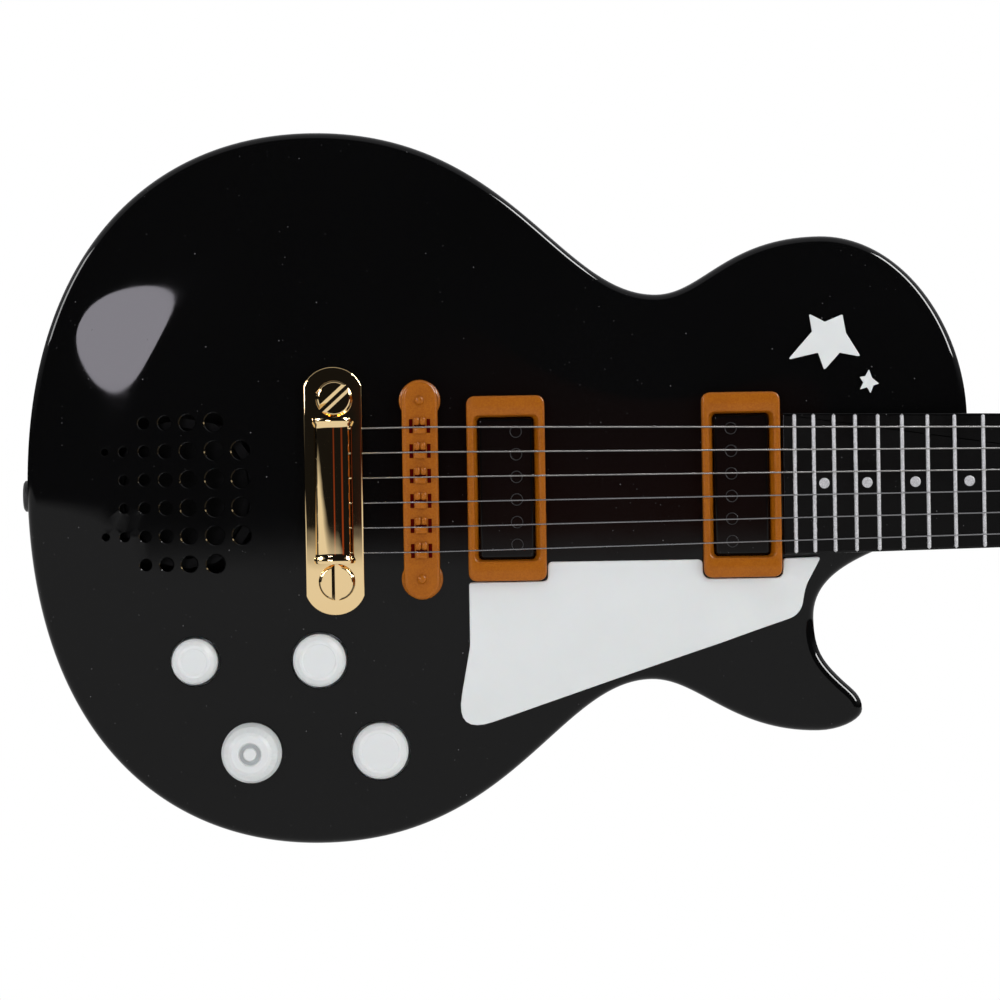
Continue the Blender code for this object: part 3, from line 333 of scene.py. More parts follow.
def cream_pearl():
    """Cream plastic with a pearly swirl, for the nut and the tuner grips."""
    paint = Paint("cream_pearl", (0.70, 0.64, 0.50), 0.22, Coat_Weight=0.5, Coat_Roughness=0.08,
                  Subsurface_Weight=0.15, Subsurface_Scale=0.003)
    swirl = paint.noise(130.0, 4.0, 0.6, paint.stretched((1.0, 0.5, 1.0)))
    colour = paint.mix(paint.ramp(swirl, 0.0, 1.0, 0.35, 0.65), (0.56, 0.48, 0.34), (0.82, 0.78, 0.68))
    return paint.finished(colour, paint.uneven(0.16, 0.30, 400.0, 3.0), swirl, 0.04, 0.0002)


# ---- shapes ------------------------------------------------------------------------------------------
def piece(name, bm, material, body=ROOT, stands_for=(), sharp=38.0):
    """Finish a mesh that was built in the guitar's frame and hang it on its CAD body."""
    bmesh.ops.recalc_face_normals(bm, faces=bm.faces)
    bmesh.ops.transform(bm, matrix=ROW, verts=bm.verts)
    mesh = bpy.data.meshes.new(name)
    bm.to_mesh(mesh)
    bm.free()
    mesh.shade_smooth()
    mesh.set_sharp_from_angle(angle=math.radians(sharp))
    mesh.materials.append(material)
    obj = bpy.data.objects.new(name, mesh)
    bpy.context.scene.collection.objects.link(obj)
    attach(obj, body)
    if stands_for:
        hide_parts(*stands_for)
    return obj


def modifier(obj, kind, **values):
    """Add a modifier and set it up."""
    made = obj.modifiers.new(kind.title(), kind)
    for key, value in values.items():
        setattr(made, key, value)
    return made


def softened(corners, steps, closed=True):
    """Replace each (x, y, radius) corner by a short curve that starts and ends on its two edges."""
    outline = []
    for i, (x, y, radius) in enumerate(corners):
        corner = Vector((x, y))
        if radius == 0 or (not closed and i in (0, len(corners) - 1)):
            outline.append(corner)
            continue
        before = Vector(corners[i - 1][:2]) - corner
        after = Vector(corners[(i + 1) % len(corners)][:2]) - corner
        half_angle = before.angle(after) / 2
        reach = min(radius / math.tan(half_angle), 0.45 * before.length, 0.45 * after.length)
        first = corner + before.normalized() * reach
        last = corner + after.normalized() * reach
        for step in range(steps + 1):
            t = step / steps
            outline.append(first * (1 - t) ** 2 + corner * (2 * t * (1 - t)) + last * t ** 2)
    return outline


def rounded_box(width, length, radius, centre):
    """A rectangle's outline with rounded corners, counterclockwise."""
    x, y = centre
    corners = [(x + across * width / 2, y + along * length / 2, radius)
               for across, along in ((-1, -1), (1, -1), (1, 1), (-1, 1))]
    return softened(corners, 8)


def circle(radius, centre, sides):
    x, y = centre
    angles = [2 * math.pi * i / sides for i in range(sides)]
    return [Vector((x + radius * math.cos(a), y + radius * math.sin(a))) for a in angles]


def inset_outline(outline, inset):
    """A counterclockwise outline moved inward, its corners mitred."""
    moved = []
    for i, point in enumerate(outline):
        before = (point - outline[i - 1]).normalized()
        after = (outline[(i + 1) % len(outline)] - point).normalized()
        inward = Vector((-before.y - after.y, before.x + after.x)).normalized()
        cosine = max(0.5, inward.dot(Vector((-before.y, before.x))))
        moved.append(point + inward * inset / cosine)
    return moved


def ring(bm, outline, height):
    """Vertices along an outline at one height, or at heights given by a function."""
    if callable(height):
        return [bm.verts.new((p[0], p[1], height(p[0], p[1]))) for p in outline]
    return [bm.verts.new((p[0], p[1], height)) for p in outline]


def flat_points(verts):
    """The x and y of vertices as an array."""
    return np.array([(vert.co.x, vert.co.y) for vert in verts])


def bridge_rings(bm, rings):
    """Faces from each ring of vertices to the next one."""
    for first, second in zip(rings, rings[1:]):
        for i in range(len(first)):
            j = (i + 1) % len(first)
            bm.faces.new((first[i], first[j], second[j], second[i]))


def closed_loft(bm, rings):
    """A solid through rings of vertices, with a flat face at both ends."""
    bridge_rings(bm, rings)
    bm.faces.new(rings[0])
    bm.faces.new(list(reversed(rings[-1])))


def quarter_round(edge, steps, start=0):
    """The (inset, rise) steps of a rounded edge, whose rise ends at the edge's size."""
    angles = [math.pi / 2 * step / steps for step in range(start, steps + 1)]
    return [(edge * (1 - math.cos(angle)), edge * math.sin(angle)) for angle in angles]


def slab(bm, outline, bottom, top, edge, steps, bottom_edge=0.0, hollow=None):
    """A flat solid with a rounded top edge. A hollow outline makes it a frame, rounded there too."""
    def stack(shape, sign):
        levels = [(0.0, bottom)]
        if bottom_edge:
            levels = [(bottom_edge, bottom), (0.0, bottom + bottom_edge)]
        levels += [(inset, top - edge + rise) for inset, rise in quarter_round(edge, steps)]
        return [ring(bm, inset_outline(shape, sign * inset) if inset else shape, z) for inset, z in levels]
    outer = stack(outline, 1)
    if hollow is None:
        closed_loft(bm, [*outer, ring(bm, inset_outline(outline, edge + 0.15), top)])
        return
    inner = stack(hollow, -1)
    bridge_rings(bm, outer)
    bridge_rings(bm, inner)
    fill(bm, outer[-1], inner[-1:])
    fill(bm, outer[0], inner[:1])


def fill(bm, rim, holes, extra=()):
    """Triangles from a ring of vertices to the rings of its holes, over any vertices among them."""
    loops = [rim, *holes]
    verts = [vert for loop in loops for vert in loop] + list(extra)
    edges = []
    start = 0
    for loop in loops:
        edges += [(start + i, start + (i + 1) % len(loop)) for i in range(len(loop))]
        start += len(loop)
    flat = flat_points(verts)
    result = delaunay_2d_cdt([Vector(point) for point in flat], edges, [], 1, 0.0001)
    faces = [[result[3][i][0] for i in face] for face in result[2]]
    middles = np.array([flat[face].mean(axis=0) for face in faces])
    keep = np.ones(len(faces), dtype=bool)
    for hole in holes:
        keep &= ~inside(middles, flat_points(hole))
    for face, kept in zip(faces, keep):
        if kept:
            bm.faces.new([verts[i] for i in face])


def lathe(bm, profile, place, sides):
    """Turn (radius, height, corner radius) about the z axis; the profile runs from axis to axis."""
    rings = []
    for radius, height in supported(softened(profile, 3, closed=False)):
        spots = circle(radius, (0.0, 0.0), sides) if radius > 1e-6 else [Vector((0.0, 0.0))]
        rings.append([bm.verts.new(place @ Vector((*spot, height))) for spot in spots])
    for first, second in zip(rings, rings[1:]):
        if len(first) == len(second) == 1:
            continue
        for i in range(sides):
            j = (i + 1) % sides
            if len(first) == 1:
                bm.faces.new((first[0], second[i], second[j]))
            elif len(second) == 1:
                bm.faces.new((first[i], second[0], first[j]))
            else:
                bm.faces.new((first[i], second[i], second[j], first[j]))


def supported(path, near=0.12):
    """Points added close to both ends of each long stretch, so that it is shaded as straight."""
    points = [path[0]]
    for start, end in zip(path, path[1:]):
        length = (end - start).length
        if length > 5 * near:
            points += [start.lerp(end, near / length), end.lerp(start, near / length)]
        points.append(end)
    return points


def tube(bm, path, radius, sides):
    """A round wire through points, its section turned to follow them."""
    points = [Vector(p) for p in path]
    rings = []
    across = None
    for i, point in enumerate(points):
        along = (points[min(i + 1, len(points) - 1)] - points[max(i - 1, 0)]).normalized()
        if across is None:
            across = along.orthogonal().normalized()
        across = (across - along * across.dot(along)).normalized()
        other = along.cross(across)
        rings.append([bm.verts.new(point + (across * math.cos(a) + other * math.sin(a)) * radius)
                      for a in (2 * math.pi * k / sides for k in range(sides))])
    closed_loft(bm, rings)


def block(bm, centre, size, edge, segments, turn=0.0):
    """A cuboid with rounded edges."""
    made = bmesh.ops.create_cube(bm, size=1.0)["verts"]
    bmesh.ops.scale(bm, vec=size, verts=made)
    edges = list({e for v in made for e in v.link_edges})
    bevelled = bmesh.ops.bevel(bm, geom=edges, offset=edge, segments=segments, profile=0.5, affect="EDGES")
    verts = list({v for f in bevelled["faces"] for v in f.verts} | {v for v in made if v.is_valid})
    place = Matrix.Translation(centre) @ Matrix.Rotation(turn, 4, "Z")
    bmesh.ops.transform(bm, matrix=place, verts=verts)


# ---- the body's outline and arched top -------------------------------------------------------------------
def body_outline():
    """The body's outline: a Bezier curve between each two landmarks, then the heel's square end."""
    step_length = 1.6
    outline = []
    for first, second in zip(BODY_LANDMARKS, BODY_LANDMARKS[1:]):
        start, end = Vector(first[:2]), Vector(second[:2])
        leave = start + first[2] * first[3] * abs(first[2].dot(end - start))
        arrive = end - second[2] * second[3] * abs(second[2].dot(end - start))
        steps = max(8, round((end - start).length / step_length))
        for step in range(steps):
            t = step / steps
            outline.append(start * (1 - t) ** 3 + leave * (3 * t * (1 - t) ** 2)
                           + arrive * (3 * t * t * (1 - t)) + end * t ** 3)
    outline.append(Vector(BODY_LANDMARKS[-1][:2]))
    corners = [(HEEL_X - 9.0, -HEEL_HALF, 0.0), (HEEL_X, -HEEL_HALF, 4.0), (HEEL_X, 0.0, 0.0)]
    outline += softened(corners, 6, closed=False)
    return outline


OUTLINE = body_outline()
OUTLINE_ARRAY = np.array([(p.x, p.y) for p in OUTLINE])


def inside(points, outline):
    """Which points lie inside a closed outline."""
    hit = np.zeros(len(points), dtype=bool)
    x, y = points[:, 0], points[:, 1]
    for (x1, y1), (x0, y0) in zip(outline, np.roll(outline, 1, axis=0)):
        crosses = (y0 > y) != (y1 > y)
        if y1 != y0:
            hit ^= crosses & (x < x0 + (y - y0) * (x1 - x0) / (y1 - y0))
    return hit


def arch(points):
    """Height of the arched top. The distance to the rim is a smooth one, so no crease runs down the horns."""
    points = np.atleast_2d(points)
    after = np.roll(OUTLINE_ARRAY, -1, axis=0)
    middles = (OUTLINE_ARRAY + after) / 2
    lengths = np.linalg.norm(after - OUTLINE_ARRAY, axis=1)
    squared = ((points[:, None, :] - middles[None]) ** 2).sum(axis=2)
    distance = ((lengths / np.maximum(squared, 0.3) ** 2).sum(axis=1) / (math.pi / 2)) ** (-1 / 3)
    rim_inset = FRONT_EDGE * (1 - math.cos(FILLET_END))
    rim_z = SHOULDER_Z + FRONT_EDGE * math.sin(FILLET_END)
    rise = np.clip((distance - rim_inset) / ARCH_RUN, 0.0, 1.0)
    along = np.clip((points[:, 0] - HORN_FLAT_FROM[0]) / HORN_FLAT_RUN[0], 0.0, 1.0)
    down = np.clip((HORN_FLAT_FROM[1] - points[:, 1]) / HORN_FLAT_RUN[1], 0.0, 1.0)
    flat = along ** 2 * (3 - 2 * along) * down ** 2 * (3 - 2 * down)
    return rim_z + (CROWN_Z - rim_z) * (1 - (1 - rise) ** 2) * (1 - flat)


def arch_at(x, y):
    """The arched top's height at one point."""
    return float(arch((x, y))[0])


def lattice(outline, spacing, margin, holes):
    """A triangular grid of points inside an outline, clear of it and of the holes."""
    low, high = outline.min(axis=0), outline.max(axis=0)
    rows = []
    for row, y in enumerate(np.arange(low[1], high[1], spacing * 0.866)):
        xs = np.arange(low[0] + spacing / 2 * (row % 2), high[0], spacing)
        rows.append(np.column_stack([xs, np.full(len(xs), y)]))
    points = np.vstack(rows)
    points = points[inside(points, outline)]
    for loop in (outline, *holes):
        near = ((points[:, None, :] - loop[None]) ** 2).sum(axis=2).min(axis=1)
        points = points[near > margin ** 2]
    for hole in holes:
        points = points[~inside(points, hole)]
    return points


def surface(bm, rim, hole_rings, heights, spacing, margin):
    """Triangles from a rim of vertices to rings round holes, over a grid of points between them."""
    grid = lattice(flat_points(rim), spacing, margin, [flat_points(hole) for hole in hole_rings])
    extra = [bm.verts.new((x, y, z)) for (x, y), z in zip(grid, heights(grid))]
    fill(bm, rim, hole_rings, extra)


def board_half(x):
    """Half the fretboard's width."""
    return BOARD_HALF_AT_220 - BOARD_TAPER * (x - 220.0)


def grille_holes():
    """The x, y and radius of each of the loudspeaker's holes."""
    holes = []
    for row, first, last in GRILLE_ROWS:
        holes += [(x, row * GRILLE_ROW_PITCH, radius) for x, radius in GRILLE_COLUMNS[first:last]]
    return holes


def front_top(material):
    """The glossy top: rounded rim, arched face, rimmed grille holes and the openings for its controls."""
    levels = [(0.0, BACK_Z[1] + GAP), (0.0, SHOULDER_Z)]
    for step in range(1, 8):
        angle = FILLET_END * step / 7
        levels.append((FRONT_EDGE * (1 - math.cos(angle)), SHOULDER_Z + FRONT_EDGE * math.sin(angle)))
    bm = bmesh.new()
    rows = [ring(bm, inset_outline(OUTLINE, inset), z) for inset, z in levels]
    rows.append(ring(bm, inset_outline(OUTLINE, levels[-1][0] + 0.5), arch_at))
    bridge_rings(bm, rows)
    hole_rings = [rimmed_hole(bm, circle(radius, (x, y), 28), 0.32) for x, y, radius in grille_holes()]
    controls = [(*centre_of(f"rhythm_button_{i}"), button_radius(i) + 0.4) for i in (1, 2, 3)]
    controls.append((*centre_of("volume_shaft"), 3.5))
    for x, y, radius in controls:
        hole_rings.append(rimmed_hole(bm, circle(radius, (x, y), 56), 0.25))
    hole_rings += [ring(bm, window, arch_at) for window in hidden_windows()]
    surface(bm, rows[-1], hole_rings, arch, 3.2, 1.5)
    obj = piece("body_top", bm, material, stands_for=("body_front_shell",), sharp=30)
    sharpen_rims(obj.data)
    modifier(obj, "SOLIDIFY", thickness=WALL * MM, offset=-1.0)


def sharpen_rims(mesh):
    """Keep the shading of an open sheet apart from the edge that a thickness gives it."""
    bm = bmesh.new()
    bm.from_mesh(mesh)
    for edge in bm.edges:
        edge.smooth = edge.smooth and not edge.is_boundary
    bm.to_mesh(mesh)
    bm.free()


def hidden_windows():
    """Openings that the pickups and the neck cover: the pickups' wells and the neck's pocket."""
    windows = []
    for place in ("bridge", "neck"):
        (x0, x1), (y0, y1) = local_box("pickup_frame_" + place)[:2]
        windows.append(rounded_box(x1 - x0 - 3.0, y1 - y0 - 3.0, 2.0, ((x0 + x1) / 2, (y0 + y1) / 2)))
    start = BOARD_X[0] + 1.0
    windows.append(divided([Vector(corner) for corner in (
        (start, -19.0), (225.5, -19.0), (238.0, -13.5), (262.0, -13.0), (262.0, 18.0), (start, 19.0))], 3.0))
    return windows


def rimmed_hole(bm, shape, chamfer):
    """A chamfer down into a hole; the returned ring lies on the arched top."""
    outer = inset_outline(shape, -chamfer)
    heights = arch(np.array([(p.x, p.y) for p in outer]))
    upper = [bm.verts.new((p.x, p.y, z)) for p, z in zip(outer, heights)]
    lower = [bm.verts.new((p.x, p.y, z - chamfer)) for p, z in zip(shape, heights)]
    bridge_rings(bm, [upper, lower])
    return upper


def button_radius(index):
    """A button's radius without its flange."""
    x0, x1 = local_box(f"rhythm_button_{index}")[0]
    return (x1 - x0) / 2 - 1.6


def back_cover(material):
    """The satin back: side wall, rounded edge, flat back with the bay and the screws' counterbores."""
    levels = [(0.35, BACK_Z[1]), (0.0, BACK_Z[1] - 0.4), (0.0, BACK_EDGE)]
    levels += [(inset, BACK_EDGE - rise) for inset, rise in quarter_round(BACK_EDGE, 7, 1)]
    bm = bmesh.new()
    rows = [ring(bm, inset_outline(OUTLINE, inset), z) for inset, z in levels]
    bridge_rings(bm, rows)
    rings = [stepped_hole(bm, node) for node in CASE_SCREWS]
    (x0, x1), (y0, y1) = local_box("battery_door")[:2]
    shape = rounded_box(x1 - x0 + 2 * GAP, y1 - y0 + 2 * GAP, 2.0, ((x0 + x1) / 2, (y0 + y1) / 2))
    bay = [ring(bm, inset_outline(shape, -0.3), 0.0), ring(bm, shape, 0.3), ring(bm, shape, 17.0)]
    bridge_rings(bm, bay)
    bm.faces.new(bay[-1])
    rings.append(bay[0])
    surface(bm, rows[-1], rings, lambda grid: np.zeros(len(grid)), 12.0, 5.0)
    return piece("body_back", bm, material, stands_for=("body_back_shell",), sharp=30)


def stepped_hole(bm, node):
    """A screw's counterbore in the flat back; the returned ring lies on the back."""
    x, y = centre_of(node)
    levels = ((3.65, 0.0), (3.4, 0.25), (3.4, 2.6), (1.7, 2.6), (1.7, 12.0))
    rows = [ring(bm, circle(radius, (x, y), 32), z) for radius, z in levels]
    bridge_rings(bm, rows)
    bm.faces.new(rows[-1])
    return rows[0]


# ---- trim on the face ------------------------------------------------------------------------------------
def divided(outline, longest):
    """The same outline with extra points along its long sides."""
    points = []
    for first, second in zip(outline, outline[1:] + outline[:1]):
        count = max(1, math.ceil((second - first).length / longest))
        points += [first.lerp(second, step / count) for step in range(count)]
    return points


def lying_sheet(name, outline, lift, thickness, edge, spacing, material):
    """A sheet on the arched top, with a rounded upper edge."""
    levels = [(0.0, lift), (0.0, lift + thickness - edge)]
    levels += [(inset, lift + thickness - edge + rise) for inset, rise in quarter_round(edge, 4, 1)]
    levels.append((edge * 1.15, lift + thickness))
    bm = bmesh.new()
    rows = []
    for inset, rise in levels:
        moved = inset_outline(outline, inset)
        heights = arch(np.array([(p.x, p.y) for p in moved])) + rise
        rows.append([bm.verts.new((p.x, p.y, z)) for p, z in zip(moved, heights)])
    bridge_rings(bm, rows)
    surface(bm, rows[-1], [], lambda grid: arch(grid) + lift + thickness, spacing, spacing * 0.5)
    bm.faces.new(list(reversed(rows[0])))
    return piece(name, bm, material, stands_for=(name.replace("_trim", ""),), sharp=50)


def face_trim(material):
    """The white pickguard and the two stars."""
    lying_sheet("pickguard_trim", divided(softened(GUARD_POINTS, 8), 2.0), 0.15, 1.5, 0.35, 4.0, material)
    for name, softness, corners in STARS:
        outline = softened([(x, y, softness) for x, y in corners], 6)
        spacing = 1.6 if softness > 0.2 else 0.7
        lying_sheet(name + "_trim", outline, 0.05, 0.8, softness * 0.25, spacing, material)


def pickups(amber, gloss, satin):
    """Amber frames with black covers, and the thin rings round the covers' poles."""
    for place, pole_side in (("bridge", 1), ("neck", -1)):
        (x0, x1), (y0, y1), (z0, z1) = local_box("pickup_frame_" + place)
        (cx0, cx1), (cy0, cy1), (cz0, cz1) = local_box("pickup_cover_" + place)
        centre = ((x0 + x1) / 2, (y0 + y1) / 2)
        width, length = cx1 - cx0, cy1 - cy0
        hollow = rounded_box(width + 2.6, length + 1.4, 1.8, centre)
        skirt = rounded_box(width + 0.5, length + 0.5, 1.4, centre)
        bm = bmesh.new()
        slab(bm, rounded_box(x1 - x0, y1 - y0, 2.7, centre), z0, z1, 0.7, 5, hollow=hollow)
        bridge_rings(bm, [ring(bm, hollow, z1 - 0.7), ring(bm, skirt, z1 - 3.4)])
        piece(f"pickup_{place}_frame", bm, amber, stands_for=("pickup_frame_" + place,))
        cover_top = cz1 - 1.6
        bm = bmesh.new()
        slab(bm, rounded_box(width, length, 1.3, centre), cz0, cover_top, 0.7, 5)
        piece(f"pickup_{place}_cover", bm, gloss, stands_for=("pickup_cover_" + place,))
        bm = bmesh.new()
        for index in range(STRINGS):
            at = Matrix.Translation((centre[0] + 2.9 * pole_side, string_y(index, 6.45), cover_top))
            lathe(bm, ((1.5, -0.05, 0), (1.55, 0.12, 0.05), (1.72, 0.12, 0.05), (1.77, -0.05, 0)), at, 40)
        piece(f"pickup_{place}_pole_rings", bm, satin)


def string_y(index, pitch):
    """A string's y where the strings lie at a given pitch; string 0 is the lowest note."""
    return ((STRINGS - 1) / 2 - index) * pitch


def bridge(amber, shadow):
    """The amber bar on its two posts, with a saddle under each string and dark blocks flush with the bar's
    top that paint the shade in its slots and groove.
    """
    (x0, x1), (y0, y1), (z0, unused) = local_box("bridge_bar")
    bar_top = 37.2                              # the bar's own top, below the saddles'
    half = (x1 - x0) / 2
    ends = []
    for end, first_angle in ((1, 0.0), (-1, math.pi)):
        middle = end * ((y1 - y0) / 2 - half)
        for step in range(17):
            angle = math.pi * step / 16 + first_angle
            ends.append(Vector((BRIDGE_X + half * math.cos(angle), middle + half * math.sin(angle))))
    bm = bmesh.new()
    slab(bm, ends, z0, bar_top, 1.1, 6, bottom_edge=0.3)
    for index in range(STRINGS):
        y = string_y(index, BRIDGE_PITCH)
        for side in (1, -1):
            block(bm, (BRIDGE_X + 0.86 * side, y + 1.75, bar_top + 0.35), (1.72, 2.3, 2.6), 0.8, 4)
        block(bm, (BRIDGE_X, y - 0.90, bar_top + 0.25), (3.4, 1.95, 2.0), 0.4, 3)
    piece("bridge_casting", bm, amber, stands_for=("bridge_bar",))
    # painted shade: dark blocks set flush in the bar stand for the shade in the slots beside each saddle and
    # in the groove under each string
    bm = bmesh.new()
    for index in range(STRINGS):
        y = string_y(index, BRIDGE_PITCH)
        for side in (1, -1):
            block(bm, (BRIDGE_X + 2.5 * side, y + 0.35, bar_top - 0.42), (1.15, 4.1, 0.9), 0.12, 2)
        block(bm, (BRIDGE_X, y + 0.32, bar_top + 0.1), (3.2, 0.7, 0.5), 0.1, 2)
    piece("saddle_slot_shade", bm, shadow)
    for node in ("bridge_post_bass", "bridge_post_treble"):
        x, y = centre_of(node)
        bm = bmesh.new()
        lathe(bm, ((0, bar_top + 1.1, 0), (1.0, bar_top + 1.0, 0.7), (1.6, bar_top - 0.4, 0), (1.6, 33.5, 0),
                   (5.3, 33.4, 0.3), (5.9, 32.9, 0.4), (5.9, 31.1, 0), (1.6, 31.1, 0), (1.6, 24.5, 0),
                   (0, 24.5, 0)),
              Matrix.Translation((x, y, 0)), 56)
        piece(node + "_foot", bm, amber, stands_for=(node,))


def tailpiece(gold):
    """The gold plate with bulging ends, the barrel across it and its two screws."""
    (x0, x1), (y0, y1), (z0, z1) = local_box("tailpiece_plate")
    centre_x, half, width = (x0 + x1) / 2, (y1 - y0) / 2, x1 - x0
    bulge = 5.5                                 # how far each end's arc stands beyond the corners
    steps = 28
    outline = []
    for end in (1, -1):
        for step in range(steps + 1):
            across = end * (1 - 2 * step / steps)
            drop = bulge * (1 - math.sqrt(max(0.0, 1 - 0.88 * across ** 2))) / (1 - math.sqrt(0.12))
            outline.append(Vector((centre_x + across * width / 2, end * (half - drop))))
    bm = bmesh.new()
    slab(bm, outline, z0, z1, 0.35, 5)
    piece("tailpiece_base", bm, gold, stands_for=("tailpiece_plate",), sharp=50)
    (x0, x1), (y0, y1), (z0, z1) = local_box("tailpiece_cover")
    levels = ((0.0, 1.0), (0.35, 1.03), (1.1, 1.03), (1.5, 1.0), (1.9, 0.965), (2.2, 0.96), (2.8, 0.96),
              (5.0, 0.96))                      # distance from an end, and the size there
    stations = [(y0 + along, size) for along, size in levels]
    stations += [(y1 - along, size) for along, size in reversed(levels)]
    bm = bmesh.new()
    sections = []
    for y, size in stations:
        angles = [math.pi * step / 24 for step in range(25)]
        sections.append([bm.verts.new(((x0 + x1) / 2 + (x1 - x0) / 2 * size * math.cos(angle), y,
                                       z0 - 0.2 + (z1 - z0) * size * math.sin(angle) ** 0.9))
                         for angle in angles])
    closed_loft(bm, sections)
    piece("tailpiece_barrel", bm, gold, stands_for=("tailpiece_cover",), sharp=30)
    for place, turn in (("bass", math.radians(42)), ("treble", math.radians(90))):
        slotted_screw("tailpiece_screw_" + place, turn, gold)


def slotted_screw(node, turn, gold):
    """A broad flat head whose slot is open at both ends."""
    x, y = centre_of(node)
    z0, z1 = local_box(node)[2]
    bm = bmesh.new()
    lathe(bm, ((0, z1, 0), (4.55, z1, 0.35), (5.2, z1 - 0.9, 0.3), (5.2, z1 - 1.8, 0), (1.6, z1 - 1.8, 0),
               (1.6, z0, 0), (0, z0, 0)), Matrix.Translation((x, y, 0)), 64)
    obj = piece(node + "_head", bm, gold, stands_for=(node,))
    section = ((-0.55, -1.0), (0.55, -1.0), (0.55, -0.62), (1.45, 0.01), (1.45, 0.5), (-1.45, 0.5),
               (-1.45, 0.01), (-0.55, -0.62))
    place = Matrix.Translation((x, y, z1)) @ Matrix.Rotation(turn, 4, "Z")
    cutter = bmesh.new()
    ends = [[cutter.verts.new(place @ Vector((end, across, height))) for across, height in section]
            for end in (-7.0, 7.0)]
    closed_loft(cutter, ends)
    cut(obj, cutter)


def cut(obj, bm):
    """Take a shape in the guitar's frame out of a piece, for good."""
    bmesh.ops.recalc_face_normals(bm, faces=bm.faces)
    bmesh.ops.transform(bm, matrix=ROW, verts=bm.verts)
    mesh = bpy.data.meshes.new("cutter")
    bm.to_mesh(mesh)
    bm.free()
    cutter = bpy.data.objects.new("cutter", mesh)
    bpy.context.scene.collection.objects.link(cutter)
    change = modifier(obj, "BOOLEAN", operation="DIFFERENCE", object=cutter)
    bpy.context.view_layer.update()
    evaluated = obj.evaluated_get(bpy.context.evaluated_depsgraph_get())
    result = bpy.data.meshes.new_from_object(evaluated)
    obj.modifiers.remove(change)
    obj.data = result
    obj.data.set_sharp_from_angle(angle=math.radians(20))
    bpy.data.objects.remove(cutter)


# ---- buttons and knob ------------------------------------------------------------------------------------
def controls(white, grey):
    """Three white buttons with a raised inner ring, and the white knob with its ridges and a grey ring of
    painted shade in its recess.
    """
    for index, inner in enumerate((3.7, 4.7, 5.3), 1):
        node = f"rhythm_button_{index}"
        x, y = centre_of(node)
        z0, z1 = local_box(node)[2]
        radius = button_radius(index) - 0.2
        bm = bmesh.new()
        lathe(bm, ((0, z1 - 0.12, 0), (inner - 0.1, z1 - 0.12, 0.1), (inner + 0.15, z1, 0.1),
                   (inner + 0.9, z1 - 0.05, 0.5), (radius - 0.6, z1 - 1.3, 1.2), (radius, z1 - 2.8, 0.8),
                   (radius, z1 - 10.6, 0), (radius + 1.6, z1 - 10.6, 0), (radius + 1.6, z1 - 12.0, 0),
                   (3.0, z1 - 12.0, 0), (3.0, z0, 0), (0, z0, 0)), Matrix.Translation((x, y, 0)), 72)
        piece(node + "_cap", bm, white, node, (node,))
    x, y = centre_of("volume_knob")
    z0, z1 = local_box("volume_knob")[2]
    bm = bmesh.new()
    lathe(bm, ((0, z1, 0), (1.75, z1, 0.4), (1.95, z1 - 1.3, 0.1), (3.0, z1 - 1.3, 0.2),
               (3.35, z1 - 0.25, 0.3), (5.2, z1 - 0.35, 0.5), (6.2, z1 - 1.2, 0.6), (7.7, z1 - 3.6, 1.2),
               (8.5, z1 - 7.5, 1.0), (8.6, z0, 0), (3.4, z0, 0), (3.4, 37.4, 0), (0, 37.4, 0)),
          Matrix.Translation((x, y, 0)), 120)
    ridges = 40
    for vert in bm.verts:
        across = Vector((vert.co.x - x, vert.co.y - y))
        if 5.6 < across.length < 7.6:
            wave = 0.06 * math.cos(ridges * math.atan2(across.y, across.x))
            across *= 1 + wave / across.length
            vert.co.x, vert.co.y = x + across.x, y + across.y
    piece("volume_knob_cap", bm, white, "volume_control", ("volume_knob",))
    # painted shade: a grey ring laid on the floor of the knob's recess
    bm = bmesh.new()
    bridge_rings(bm, [ring(bm, circle(radius, (x, y), 48), z1 - 1.22) for radius in (2.98, 2.0)])
    piece("volume_knob_recess_shade", bm, grey, "volume_control")


# ---- neck ------------------------------------------------------------------------------------------------
def headstock_half(x):
    """Half the headstock's width, through its stations on a smooth curve."""
    xs = [station[0] for station in HEADSTOCK]
    halves = [station[1] for station in HEADSTOCK]
    slopes = np.gradient(halves, xs)
    i = int(np.clip(np.searchsorted(xs, x) - 1, 0, len(xs) - 2))
    span = xs[i + 1] - xs[i]
    t = min(1.0, max(0.0, (x - xs[i]) / span))
    return float((2 * t ** 3 - 3 * t ** 2 + 1) * halves[i] + (t ** 3 - 2 * t ** 2 + t) * span * slopes[i]
                 + (3 * t ** 2 - 2 * t ** 3) * halves[i + 1] + (t ** 3 - t ** 2) * span * slopes[i + 1])


def neck_section(x):
    """Half width, bottom and squareness of the neck's back at x."""
    stations = (
        (217.2, 14.0, 3.5), (270.0, 14.0, 3.0), (285.0, 14.2, 2.2), (444.0, 15.8, 2.2), (453.0, 15.6, 2.4),
        (457.2, 15.2, 2.6), (465.0, 13.0, 4.0), (473.0, 11.5, 5.0), (540.0, 11.5, 5.0), (551.0, 11.8, 5.0),
        (557.5, 12.5, 4.0))
    xs, bottoms, squarenesses = zip(*stations)
    half = board_half(x) if x <= 455.0 else headstock_half(max(x, HEADSTOCK[0][0]))
    return half, float(np.interp(x, xs, bottoms)), float(np.interp(x, xs, squarenesses))


